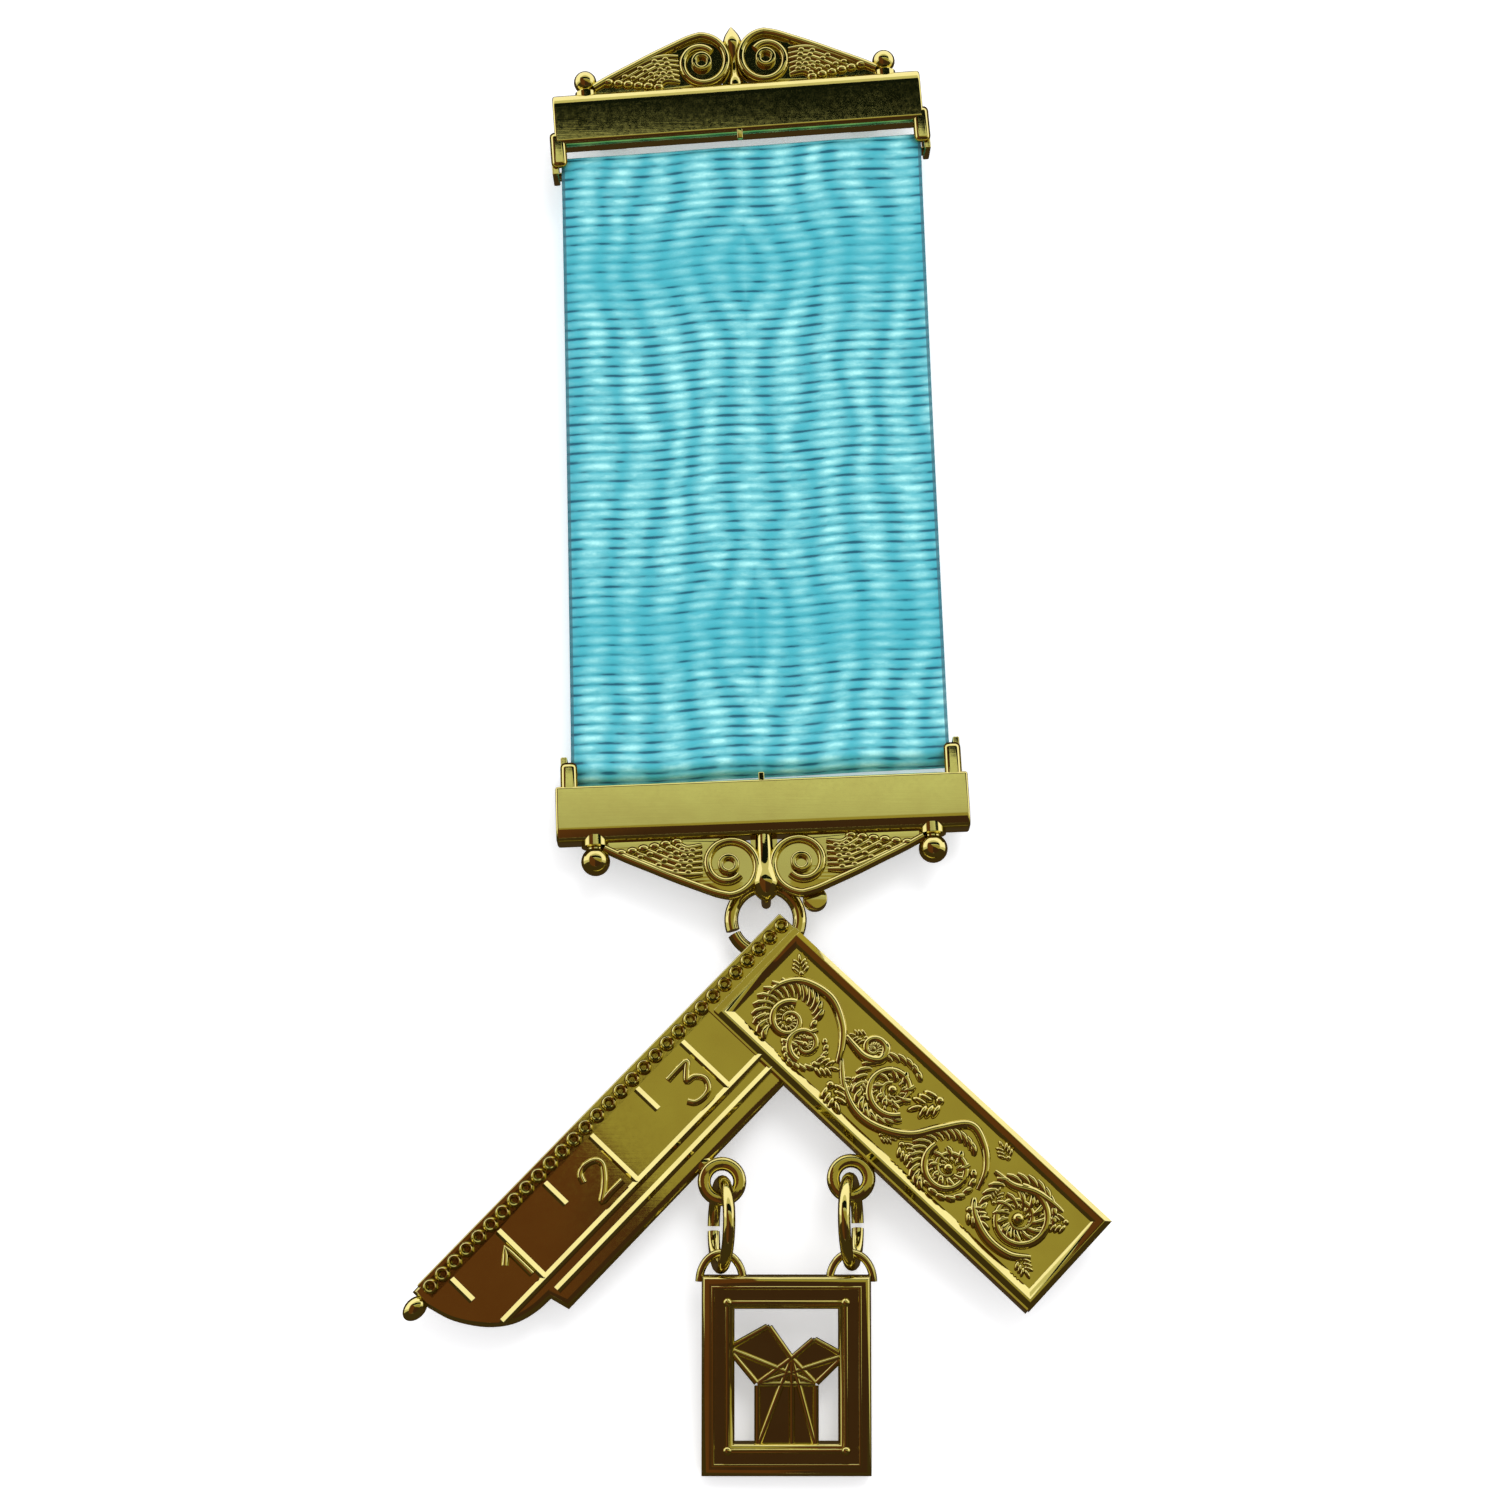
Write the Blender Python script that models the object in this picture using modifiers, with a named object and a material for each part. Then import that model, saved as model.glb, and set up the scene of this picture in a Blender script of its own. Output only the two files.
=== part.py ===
"""A gilt breast jewel lying on its back.

A pin bar and a lower bar, each with a scrolled crest, hold a doubled ribbon between them. A jump ring
behind the lower crest carries a try square, and two small jump rings on the square carry a framed
pendant with the figure of the squares on the sides of a triangle. Metres, +Z up. The front faces up,
the pin bar lies towards +Y.
"""

import math

import bmesh
import bpy
from mathutils import Matrix, Vector

MM = 0.001

# Clearances
LINK_GAP = 0.3 * MM
CLOTH_GAP = 0.3 * MM
FLOOR_GAP = 0.1 * MM

# Keeps the faces of shapes that are soldered together from coinciding
SEAM = 0.02 * MM

# Ribbon, sewn into a flat loop round the two rods
RIBBON_WIDTH = 31.5 * MM
RIBBON_DROP = 57.6 * MM
RIBBON_WALL = 1.0 * MM
RIBBON_SAG = 0.75 * MM
RIBBON_PINCH = 4.0 * MM
RIBBON_LEAN = math.radians(1.7)

# The two bars
TOP_BAR_WIDTH = 32.3 * MM
TOP_BAR_HEIGHT = 4.7 * MM
TOP_BAR_TURN = math.radians(4.5)
TOP_BAR_TILT = math.radians(5.0)
TOP_RIBBON_SPACE = 0.3 * MM
LOWER_BAR_WIDTH = 34.1 * MM
LOWER_BAR_HEIGHT = 4.7 * MM
LOWER_BAR_TURN = math.radians(2.3)
LOWER_BAR_TILT = math.radians(-3.2)
LOWER_RIBBON_SPACE = 0.6 * MM
LOWER_ROD_SKEW = math.radians(0.9)
BAR_DEPTH = 2.4 * MM
BAR_ROUNDING = 0.5 * MM

# Rod and arms that carry the ribbon
ROD_RADIUS = 0.4 * MM
ROD_SETBACK = 1.4 * MM
ARM_WIDTH = 1.4 * MM
CHEEK_WIDTH = 0.6 * MM
ARM_END = 0.6 * MM
ARM_SEAT = 0.95 * MM
ARM_LAP = 0.2 * MM
TICK_WIDTH = 0.5 * MM

# Scrolled crest
TOP_CREST_RISE = 4.7 * MM
LOWER_CREST_RISE = 5.0 * MM
CREST_ROOT = 0.35 * MM
CREST_PLATE_FRONT = 0.3 * MM
CREST_RIM_RADIUS = 0.36 * MM
CREST_RIM_LIFT = 0.12 * MM
CREST_RIM_INSET = 0.06 * MM
CREST_FINGER_RADIUS = 0.42 * MM
CREST_FINGER_LIFT = 0.05 * MM
CREST_FINGER_STEP = 0.03 * MM
CREST_WEB_SETBACK = 0.1 * MM
VOLUTE_RADIUS = 2.2 * MM
VOLUTE_EYE_RADIUS = 0.9 * MM
VOLUTE_PIT_RADIUS = 0.42 * MM
VOLUTE_EYE_RISE = 0.55 * MM
TOP_BALL_RADIUS = 1.0 * MM
LOWER_BALL_RADIUS = 1.2 * MM
BALL_ALONG = 0.815
TOP_BUD_RADIUS = 0.85 * MM
TOP_BUD_RISE = 5.5 * MM
LOWER_BUD_RADIUS = 1.2 * MM
LOWER_BUD_RISE = 5.5 * MM

# Pin and its fittings behind the top bar
FITTING_SPREAD = 11.2 * MM
FITTING_WIDTH = 2.6 * MM
FITTING_LENGTH = 3.0 * MM
FITTING_OFFSET = 0.8 * MM
FITTING_SEAT = 0.4 * MM
TOP_BAR_LIFT = 3.2 * MM
PIN_RADIUS = 0.4 * MM
PIN_HEIGHT = 1.4 * MM
PIN_SEAT = 0.64 * MM

# Ring between the lower bar and the square
RING_OUTER = 6.8 * MM
RING_WIRE = 1.15 * MM
RING_CUT = math.radians(7.0)
RING_CUT_AT = math.radians(202.0)
STAPLE_WIRE = 0.8 * MM
STAPLE_REACH = 3.7 * MM
STAPLE_SEAT = 0.45 * MM
LUG_RADIUS = 1.0 * MM

# Try square
ARM_BREADTH = 9.9 * MM
RULE_LENGTH = 42.2 * MM
PANEL_LENGTH = 34.6 * MM
SQUARE_DEPTH = 2.0 * MM
BEAD_BAND = 1.75 * MM
BEAD_PITCH = 1.36 * MM
BEAD_RISE = 0.35 * MM
BEAD_SINK = 0.2 * MM
BEAD_BAND_END = 0.6 * MM
RULE_FIELD = 5.15 * MM
RULE_FIELD_EDGE = 0.3 * MM
RULE_FIELD_END = 3.0 * MM
RULE_FIELD_INSET = 0.15 * MM
RULE_STEP = 1.3 * MM
RULE_TIP_LENGTH = 7.2 * MM
RULE_TIP_LIP = 0.1 * MM
RULE_STEP_LEAD = 0.4 * MM
MOULDING_END = 3.2 * MM
STEP_MOULDING_END = 8.0 * MM
MOULDING_LAP = 0.6 * MM
RULE_MARK_PITCH = 5.24 * MM
RULE_FIRST_MARK = 13.2 * MM
LINE_WIDTH = 0.3 * MM
LINE_RISE = 0.22 * MM
LINE_SINK = 0.3 * MM
LINE_LAP = 0.1 * MM
DIGIT_HEIGHT = 3.0 * MM
TIP_BALL_RADIUS = 1.0 * MM
PANEL_BORDER = 1.15 * MM
PANEL_SINK = 0.42 * MM
PANEL_REVEAL = 0.25 * MM
PANEL_SEAM = 0.1 * MM
PANEL_LAP = 1.0 * MM
VINE_RADIUS = 0.34 * MM
VINE_LIFT = 0.05 * MM
SQUARE_TURN = math.radians(1.35)
SQUARE_SLOPE = math.radians(1.2)
SQUARE_STAPLE_ALONG = 2.0 * MM
SQUARE_STAPLE_ACROSS = 1.75 * MM
STAPLE_BEARING = math.radians(-70.0)

# Eyelets of the square and the two small jump rings
EYELET_RADIUS = 1.95 * MM
EYELET_HOLE = 0.9 * MM
EYELET_DEPTH = 1.1 * MM
EYELET_ALONG = 19.0 * MM
EYELET_SEAT = 0.15 * MM
EYELET_CHAMFER = 0.2 * MM
SOLDER_LENGTH = 1.6 * MM
SOLDER_WIDTH = 0.9 * MM
SOLDER_SEAT = 0.12 * MM
JUMP_OUTER = 7.8 * MM
JUMP_WIRE = 1.0 * MM
JUMP_LEAN = math.radians(11.0)
JUMP_CUT = math.radians(7.0)

# Pendant
FRAME_WIDTH = 13.4 * MM
FRAME_HEIGHT = 15.6 * MM
FRAME_RAIL = 2.6 * MM
FRAME_DEPTH = 2.4 * MM
FRAME_CHAMFER = 0.6 * MM
FRAME_BEAD_INSET = 1.85 * MM
FRAME_BEAD_WIDTH = 0.35 * MM
FRAME_BEAD_RISE = 0.25 * MM
FIGURE_DEPTH = 1.2 * MM
LOOP_WIDTH = 4.1 * MM
LOOP_WIRE = 0.65 * MM
LOOP_GAP = 0.2 * MM
LOOP_SEAT = 0.5 * MM

# Values that follow from those above
LOOP_HALF = ROD_RADIUS + CLOTH_GAP + RIBBON_WALL
LAYER_HALF = CLOTH_GAP / 2 + RIBBON_WALL
RING_MEAN = (RING_OUTER - RING_WIRE) / 2
RING_HEIGHT = FLOOR_GAP + STAPLE_WIRE + LINK_GAP + RING_WIRE / 2
STAPLE_BACK = RING_HEIGHT + RING_WIRE / 2 + LINK_GAP
STAPLE_SPREAD = RING_WIRE / 2 + LINK_GAP + STAPLE_WIRE / 2
JUMP_MEAN = (JUMP_OUTER - JUMP_WIRE) / 2
RULE_LINE = BEAD_BAND + RULE_FIELD
RULE_STEP_LINE = RULE_LINE + RULE_STEP
RULE_TIP_START = RULE_LENGTH - RULE_TIP_LENGTH
RULE_TIP_BREADTH = RULE_STEP_LINE + RULE_TIP_LIP
PIN_START = -FITTING_SPREAD - FITTING_WIDTH / 2 + PIN_SEAT

# The crest's upper edge, from its outer end to the top of the volute
CREST_EDGE = (
    # share of half the bar's width, share of the crest's rise
    (0.770, 0.120),
    (0.680, 0.280),
    (0.560, 0.470),
    (0.440, 0.660),
    (0.330, 0.820),
    (0.240, 0.945),
    (0.175, 1.000),
)
VOLUTE_AT = (0.175, 0.475)

# Turned buds: share of the bud's rise, share of its widest radius
TOP_BUD = (
    (-0.10, 0.90),
    (0.08, 0.80),
    (0.22, 0.48),
    (0.42, 0.42),
    (0.56, 0.72),
    (0.70, 1.00),
    (0.83, 0.80),
    (0.94, 0.36),
    (1.00, 0.10),
)
LOWER_BUD = (
    (-0.10, 0.60),
    (0.20, 0.62),
    (0.45, 0.75),
    (0.64, 0.97),
    (0.76, 1.00),
    (0.90, 0.70),
    (0.97, 0.38),
    (1.00, 0.12),
)

# Curved end of the rule: share of the tip's length, share of its breadth
RULE_TIP = (
    (0.00, 1.00),
    (0.18, 0.99),
    (0.37, 0.95),
    (0.53, 0.88),
    (0.69, 0.76),
    (0.82, 0.61),
    (0.93, 0.43),
    (1.00, 0.21),
)

# The rule's digits from the panel outwards: digit, share of a mark's pitch past its line
DIGITS = (("3", 0.43), ("2", 0.38), ("1", 0.24))

# Scrolls of the panel, with places and sizes as shares of its field
PANEL_SCROLLS = (
    # along, across, radius, start angle, turns (minus turns the other way)
    (0.120, 0.600, 0.290, 60, 1.35),
    (0.235, 0.680, 0.225, 45, -1.25),
    (0.335, 0.230, 0.150, 200, 1.00),
    (0.440, 0.400, 0.285, 100, 1.35),
    (0.660, 0.560, 0.350, 70, 1.45),
    (0.865, 0.500, 0.320, 40, -1.35),
)
PANEL_LEAVES = (
    # along, across, length, breadth, heading in degrees
    (0.055, 0.190, 0.200, 0.110, 45),
    (0.030, 0.820, 0.170, 0.100, 80),
    (0.300, 0.800, 0.200, 0.100, 20),
    (0.330, 0.560, 0.230, 0.100, 35),
    (0.545, 0.790, 0.300, 0.120, 15),
    (0.540, 0.170, 0.230, 0.110, 340),
    (0.755, 0.860, 0.220, 0.110, 25),
    (0.735, 0.100, 0.200, 0.100, 10),
    (0.760, 0.420, 0.240, 0.110, 345),
    (0.950, 0.160, 0.200, 0.100, 330),
    (0.945, 0.870, 0.220, 0.110, 40),
)

# Corners of the pendant's figure, as shares of half the window's width and height
FIGURE = {
    "base_left": (-0.56, -0.12),
    "base_right": (0.56, -0.12),
    "apex": (0.10, 0.26),
    "left_far": (-1.12, 0.41),
    "left_near": (-0.34, 0.75),
    "right_near": (0.53, 0.55),
    "right_far": (1.11, 0.30),
    "foot_left": (-0.56, -1.07),
    "foot_right": (0.56, -1.07),
}


def remove_everything():
    for obj in list(bpy.data.objects):
        bpy.data.objects.remove(obj)


def gilt(name):
    material = bpy.data.materials.new(name)
    material.use_nodes = True
    shader = material.node_tree.nodes["Principled BSDF"]
    shader.inputs["Base Color"].default_value = (0.62, 0.49, 0.13, 1.0)
    shader.inputs["Metallic"].default_value = 1.0
    shader.inputs["Roughness"].default_value = 0.18
    return material


def cloth(name):
    material = bpy.data.materials.new(name)
    material.use_nodes = True
    shader = material.node_tree.nodes["Principled BSDF"]
    shader.inputs["Base Color"].default_value = (0.11, 0.47, 0.60, 1.0)
    shader.inputs["Metallic"].default_value = 0.0
    shader.inputs["Roughness"].default_value = 0.55
    return material


# Meshes of single shapes

def as_mesh(obj):
    """The evaluated shape of a curve or of an object with modifiers, with its seams closed."""
    bpy.context.scene.collection.objects.link(obj)
    graph = bpy.context.evaluated_depsgraph_get()
    graph.update()
    mesh = bpy.data.meshes.new_from_object(obj.evaluated_get(graph))
    bpy.data.objects.remove(obj)
    shape = bmesh.new()
    shape.from_mesh(mesh)
    bmesh.ops.remove_doubles(shape, verts=shape.verts, dist=0.002 * MM)
    bmesh.ops.recalc_face_normals(shape, faces=shape.faces)
    shape.to_mesh(mesh)
    shape.free()
    return mesh


def from_bmesh(shape):
    mesh = bpy.data.meshes.new("shape")
    shape.to_mesh(mesh)
    shape.free()
    return mesh


def moved(mesh, matrix):
    mesh.transform(matrix)
    return mesh


def box(size, centre, rounding=0.0, segments=2):
    shape = bmesh.new()
    bmesh.ops.create_cube(shape, size=1.0)
    bmesh.ops.scale(shape, vec=size, verts=shape.verts)
    if rounding > 0.0:
        bmesh.ops.bevel(shape, geom=shape.edges[:], offset=rounding, segments=segments,
                        affect="EDGES", profile=0.5)
    bmesh.ops.translate(shape, vec=centre, verts=shape.verts)
    return from_bmesh(shape)


def ball(radius, centre, stretch=(1.0, 1.0, 1.0), turn=0.0, around=10, along=7):
    shape = bmesh.new()
    bmesh.ops.create_uvsphere(shape, u_segments=around, v_segments=along, radius=radius)
    bmesh.ops.scale(shape, vec=stretch, verts=shape.verts)
    mesh = from_bmesh(shape)
    return moved(mesh, Matrix.Translation(centre) @ Matrix.Rotation(turn, 4, "Z"))


def drum(radius, length, matrix, sides=12):
    shape = bmesh.new()
    bmesh.ops.create_cone(shape, cap_ends=True, segments=sides, radius1=radius, radius2=radius,
                          depth=length)
    return moved(from_bmesh(shape), matrix)


def slab(outlines, back, front, chamfer=0.0):
    """A flat plate from back to front. The first outline is its edge and the others are holes."""
    curve = bpy.data.curves.new("outline", "CURVE")
    curve.dimensions = "2D"
    curve.fill_mode = "BOTH"
    curve.extrude = (front - back) / 2 - chamfer
    curve.bevel_depth = chamfer
    curve.bevel_resolution = 0
    curve.offset = -chamfer
    for outline in outlines:
        spline = curve.splines.new("POLY")
        spline.points.add(len(outline) - 1)
        for point, place in zip(spline.points, outline):
            point.co = (place[0], place[1], 0.0, 1.0)
        spline.use_cyclic_u = True
    mesh = as_mesh(bpy.data.objects.new("outline", curve))
    return moved(mesh, Matrix.Translation((0.0, 0.0, (front + back) / 2)))


def rail(places, radius, taper=None, sides=6):
    """A round bar along the places, with closed ends. Taper holds one share of the radius a place."""
    curve = bpy.data.curves.new("rail", "CURVE")
    curve.dimensions = "3D"
    curve.bevel_depth = radius
    curve.bevel_resolution = (sides - 4) // 2
    curve.use_fill_caps = True
    spline = curve.splines.new("POLY")
    spline.points.add(len(places) - 1)
    for index, place in enumerate(places):
        spline.points[index].co = (place[0], place[1], place[2], 1.0)
        spline.points[index].radius = taper[index] if taper else 1.0
    return as_mesh(bpy.data.objects.new("rail", curve))


def turned(profile, matrix, sides=8):
    """A solid turned round Z from (radius, height) pairs, lowest first, closed on the axis."""
    mesh = bpy.data.meshes.new("profile")
    places = [(0.0, 0.0, profile[0][1])]
    places += [(radius, 0.0, height) for radius, height in profile]
    places += [(0.0, 0.0, profile[-1][1])]
    mesh.from_pydata(places, [(i, i + 1) for i in range(len(places) - 1)], [])
    obj = bpy.data.objects.new("profile", mesh)
    screw = obj.modifiers.new("turn", "SCREW")
    screw.steps = sides
    screw.render_steps = sides
    screw.use_merge_vertices = True
    screw.merge_threshold = 0.001 * MM
    return moved(as_mesh(obj), matrix)


def fuse(name, shapes, cuts=()):
    """One closed body of all the shapes, less the cuts."""
    obj = bpy.data.objects.new(name, shapes[0])
    bpy.context.scene.collection.objects.link(obj)
    helpers = []
    for operation, meshes in (("UNION", shapes[1:]), ("DIFFERENCE", cuts)):
        if not meshes:
            continue
        group = bpy.data.collections.new(name + "_" + operation.lower())
        bpy.context.scene.collection.children.link(group)
        for mesh in meshes:
            helper = bpy.data.objects.new("helper", mesh)
            group.objects.link(helper)
            helpers.append(helper)
        boolean = obj.modifiers.new(operation.lower(), "BOOLEAN")
        boolean.operation = operation
        boolean.solver = "EXACT"
        boolean.operand_type = "COLLECTION"
        boolean.collection = group
    graph = bpy.context.evaluated_depsgraph_get()
    graph.update()
    mesh = bpy.data.meshes.new_from_object(obj.evaluated_get(graph))
    mesh.name = name
    for helper in helpers:
        bpy.data.objects.remove(helper)
    bpy.data.objects.remove(obj)
    for group in list(bpy.context.scene.collection.children):
        if group.name.startswith(name + "_"):
            bpy.data.collections.remove(group)
    return mesh


# Paths

def arc(centre, radius, start, end, steps):
    """Points on an arc, angles in radians, both ends kept."""
    points = []
    for step in range(steps + 1):
        angle = start + (end - start) * step / steps
        points.append((centre[0] + radius * math.cos(angle), centre[1] + radius * math.sin(angle)))
    return points


def circle(centre, radius, steps):
    return arc(centre, radius, 0.0, 2 * math.pi * (1 - 1 / steps), steps - 1)


def spiral(centre, outer, inner, start, turns, steps):
    points = []
    for step in range(steps + 1):
        share = step / steps
        angle = start + turns * 2 * math.pi * share
        radius = outer + (inner - outer) * share
        points.append((centre[0] + radius * math.cos(angle), centre[1] + radius * math.sin(angle)))
    return points


def smooth(points, steps):
    """A smooth run through flat points (Catmull-Rom)."""
    padded = [points[0]] + list(points) + [points[-1]]
    run = []
    for i in range(len(points) - 1):
        a, b, c, d = (Vector(p) for p in padded[i:i + 4])
        for step in range(steps):
            t = step / steps
            place = 0.5 * (2 * b + (c - a) * t + (2 * a - 5 * b + 4 * c - d) * t ** 2
                           + (3 * b - a - 3 * c + d) * t ** 3)
            run.append(tuple(place))
    run.append(tuple(points[-1]))
    return run


def lifted(points, height):
    return [(p[0], p[1], height) for p in points]


def mirrored(points):
    return [(-p[0],) + tuple(p[1:]) for p in points]


# Bars

def crest(half_width, rise, ball_radius, bud_profile, bud_radius, bud_rise):
    """The scrolled crest, standing on the line y=0 in the bar's middle plane."""
    back = -BAR_DEPTH / 2
    root = -CREST_ROOT
    edge = smooth([(x * half_width, y * rise) for x, y in CREST_EDGE], 2)
    centre = (VOLUTE_AT[0] * half_width, VOLUTE_AT[1] * rise)
    top_radius = rise - centre[1]
    scroll_end = VOLUTE_EYE_RADIUS + CREST_RIM_RADIUS * 0.75
    scroll = spiral(centre, top_radius, scroll_end, math.pi / 2, 1.12, 20)
    plate_round = spiral(centre, top_radius, VOLUTE_RADIUS, math.pi / 2, 0.5, 8)
    plate = [(edge[0][0], root)] + edge[:-1] + plate_round + [(plate_round[-1][0] * 0.4, root)]
    shapes = []
    for side in (1, -1):
        outline = plate if side > 0 else mirrored(plate)
        shapes.append(slab([outline], back, CREST_PLATE_FRONT))
        path = [(x - CREST_RIM_INSET / 2, y - CREST_RIM_INSET) for x, y in edge[:-1] + scroll]
        path = path if side > 0 else mirrored(path)
        height = CREST_PLATE_FRONT + CREST_RIM_LIFT - side * SEAM / 2
        shapes.append(rail(lifted(path, height), CREST_RIM_RADIUS))
        eye = (side * centre[0], centre[1])
        rings = [circle(eye, VOLUTE_EYE_RADIUS, 12), circle(eye, VOLUTE_PIT_RADIUS, 10)]
        shapes.append(slab(rings, 0.0, CREST_PLATE_FRONT + VOLUTE_EYE_RISE))
        shapes += crest_fingers(side, half_width, rise)
        base = (side * BALL_ALONG * half_width, 0.0, 0.0)
        stem = Matrix.Translation(base) @ Matrix.Rotation(math.radians(90), 4, "X")
        shapes.append(drum(ball_radius * 0.95, ball_radius * 0.8, stem))
        shapes.append(ball(ball_radius, (base[0], ball_radius * 1.3, 0.0)))
    neck = [(bud_radius * radius, bud_rise * height) for height, radius in bud_profile]
    upright = Matrix.Rotation(math.radians(-90), 4, "X") @ Matrix.Rotation(math.radians(22.5), 4, "Z")
    shapes.append(turned(neck, upright))
    web = max(VOLUTE_RADIUS * 0.5, bud_radius * 0.9)
    shapes.append(slab([[(-web, root), (web, root), (web, rise * 0.72), (-web, rise * 0.72)]],
                       back + CREST_WEB_SETBACK / 2, -CREST_WEB_SETBACK))
    return shapes


def crest_fingers(side, half_width, rise):
    """Leaf fingers that sweep from the volute down to the bar, thinning to their tips."""
    fingers = []
    for index in range(4):
        share = index / 3
        start = (0.305 * half_width, (0.16 + 0.42 * share) * rise)
        middle = ((0.385 + 0.06 * share) * half_width, (0.20 + 0.36 * share) * rise)
        end = ((0.44 + 0.25 * share) * half_width, (0.06 + 0.14 * share) * rise)
        path = smooth([start, middle, end], 3)
        path = path if side > 0 else mirrored(path)
        taper = [0.7 + 0.5 * math.sin(math.pi * i / (len(path) - 1)) - 0.25 * i / len(path)
                 for i in range(len(path))]
        height = CREST_PLATE_FRONT + CREST_FINGER_LIFT + CREST_FINGER_STEP * share
        fingers.append(rail(lifted(path, height), CREST_FINGER_RADIUS, taper, sides=8))
    return fingers


def hanger(bar_width, bar_height, ribbon_space, skew):
    """Two arms and the rod, below the bar in its own frame, and the short tick between them."""
    rod_y = -(bar_height / 2 + ribbon_space + LOOP_HALF)
    inner = RIBBON_WIDTH / 2 + CLOTH_GAP * 0.8
    outer = inner + CHEEK_WIDTH
    front = BAR_DEPTH / 2 - SEAM
    strap_inner = min(outer - ARM_WIDTH, bar_width / 2 - ARM_SEAT)
    strap_back = -ROD_SETBACK + LOOP_HALF + CLOTH_GAP
    shapes = []
    for side in (1, -1):
        top = -bar_height * 0.25
        rod_end = rod_y + side * inner * math.tan(skew)
        shapes.append(box((outer - strap_inner, top - rod_end, front - strap_back),
                          (side * (outer + strap_inner) / 2, (top + rod_end) / 2, (front + strap_back) / 2)))
        cheek_end = rod_end - ARM_END
        cheek_back = -ROD_SETBACK - ARM_END
        cheek_front = strap_back + ARM_LAP
        shapes.append(box((CHEEK_WIDTH - 2 * SEAM, top - cheek_end - 2 * SEAM, cheek_front - cheek_back),
                          (side * (inner + CHEEK_WIDTH / 2), (top + cheek_end) / 2,
                           (cheek_front + cheek_back) / 2)))
    reach = inner + CHEEK_WIDTH / 2
    rod = [(-reach, rod_y - reach * math.tan(skew), -ROD_SETBACK),
           (reach, rod_y + reach * math.tan(skew), -ROD_SETBACK)]
    shapes.append(rail(rod, ROD_RADIUS, sides=8))
    tick = 0.35 * LOOP_HALF
    shapes.append(box((TICK_WIDTH, tick + bar_height * 0.2, front - strap_back),
                      (0.0, -(bar_height / 2 + tick / 2 - bar_height * 0.1), (front + strap_back) / 2)))
    return shapes


def staple_into(drop, spread):
    """A staple whose arch clears the ring, with straight legs down from the back face."""
    corner = spread * 0.55
    path = [(-spread, 0.0, STAPLE_SEAT)]
    path += [(x - spread + corner, 0.0, z - drop + corner)
             for x, z in arc((0.0, 0.0), corner, math.pi, 1.5 * math.pi, 4)]
    path += [(x + spread - corner, 0.0, z - drop + corner)
             for x, z in arc((0.0, 0.0), corner, 1.5 * math.pi, 2 * math.pi, 4)]
    path += [(spread, 0.0, STAPLE_SEAT)]
    return rail(path, STAPLE_WIRE / 2)


def bar_body(width, height):
    return box((width, height, BAR_DEPTH), (0.0, 0.0, 0.0), BAR_ROUNDING, 2)


def half_turn():
    return Matrix.Rotation(math.pi, 4, "Z")


# Places of the pieces, worked out from the lower bar at the plan's origin

def lower_bar_place():
    staple_y = -(LOWER_BAR_HEIGHT / 2 + STAPLE_REACH)
    lift = STAPLE_BACK - staple_y * math.sin(LOWER_BAR_TILT) + BAR_DEPTH / 2 * math.cos(LOWER_BAR_TILT)
    turn = Matrix.Rotation(LOWER_BAR_TURN, 4, "Z") @ Matrix.Rotation(LOWER_BAR_TILT, 4, "X")
    return Matrix.Translation((0.0, 0.0, lift)) @ turn


def rod_places():
    """The middles of the lower and the upper rod."""
    reach = LOWER_BAR_HEIGHT / 2 + LOWER_RIBBON_SPACE + LOOP_HALF
    lower = lower_bar_place() @ Vector((0.0, reach, -ROD_SETBACK))
    span = RIBBON_DROP - 2 * LOOP_HALF
    top_reach = TOP_BAR_HEIGHT / 2 + TOP_RIBBON_SPACE + LOOP_HALF
    middle = TOP_BAR_LIFT + BAR_DEPTH / 2 * math.cos(TOP_BAR_TILT)
    height = middle - top_reach * math.sin(TOP_BAR_TILT) - ROD_SETBACK * math.cos(TOP_BAR_TILT)
    upper = Vector((lower.x - span * math.sin(RIBBON_LEAN), lower.y + span * math.cos(RIBBON_LEAN), height))
    return lower, upper


def top_bar_place():
    _, rod = rod_places()
    reach = TOP_BAR_HEIGHT / 2 + TOP_RIBBON_SPACE + LOOP_HALF
    turn = Matrix.Rotation(TOP_BAR_TURN, 4, "Z") @ Matrix.Rotation(TOP_BAR_TILT, 4, "X")
    seat = turn @ Vector((0.0, -reach, -ROD_SETBACK))
    return Matrix.Translation(rod - seat) @ turn


def fitting_place():
    """On the surface, behind the top bar and a little above its middle, turned with it but not tilted."""
    middle = top_bar_place() @ Vector((0.0, FITTING_OFFSET, 0.0))
    return Matrix.Translation((middle.x, middle.y, 0.0)) @ Matrix.Rotation(TOP_BAR_TURN, 4, "Z")


def ring_centre():
    staple_y = -(LOWER_BAR_HEIGHT / 2 + STAPLE_REACH)
    seat = lower_bar_place() @ Vector((0.0, staple_y, -BAR_DEPTH / 2))
    return Vector((seat.x, seat.y - RING_MEAN, RING_HEIGHT))


def square_place():
    """X runs down the rule's outer edge and Y down the panel's, from the outer corner."""
    centre = ring_centre()
    seat = centre + RING_MEAN * Vector((math.cos(STAPLE_BEARING), math.sin(STAPLE_BEARING), 0.0))
    seat.z = STAPLE_BACK
    turn = Matrix.Rotation(-SQUARE_SLOPE, 4, "X") @ Matrix.Rotation(math.radians(225) + SQUARE_TURN, 4, "Z")
    staple_at = turn @ Vector((SQUARE_STAPLE_ALONG, SQUARE_STAPLE_ACROSS, 0.0))
    return Matrix.Translation(seat - staple_at) @ turn


def eyelet_spots():
    across = ARM_BREADTH + EYELET_RADIUS - EYELET_SEAT
    return (EYELET_ALONG, across), (across, EYELET_ALONG)


def eyelet_places():
    place = square_place()
    return [place @ Vector((x, y, SQUARE_DEPTH / 2)) for x, y in eyelet_spots()]


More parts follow.
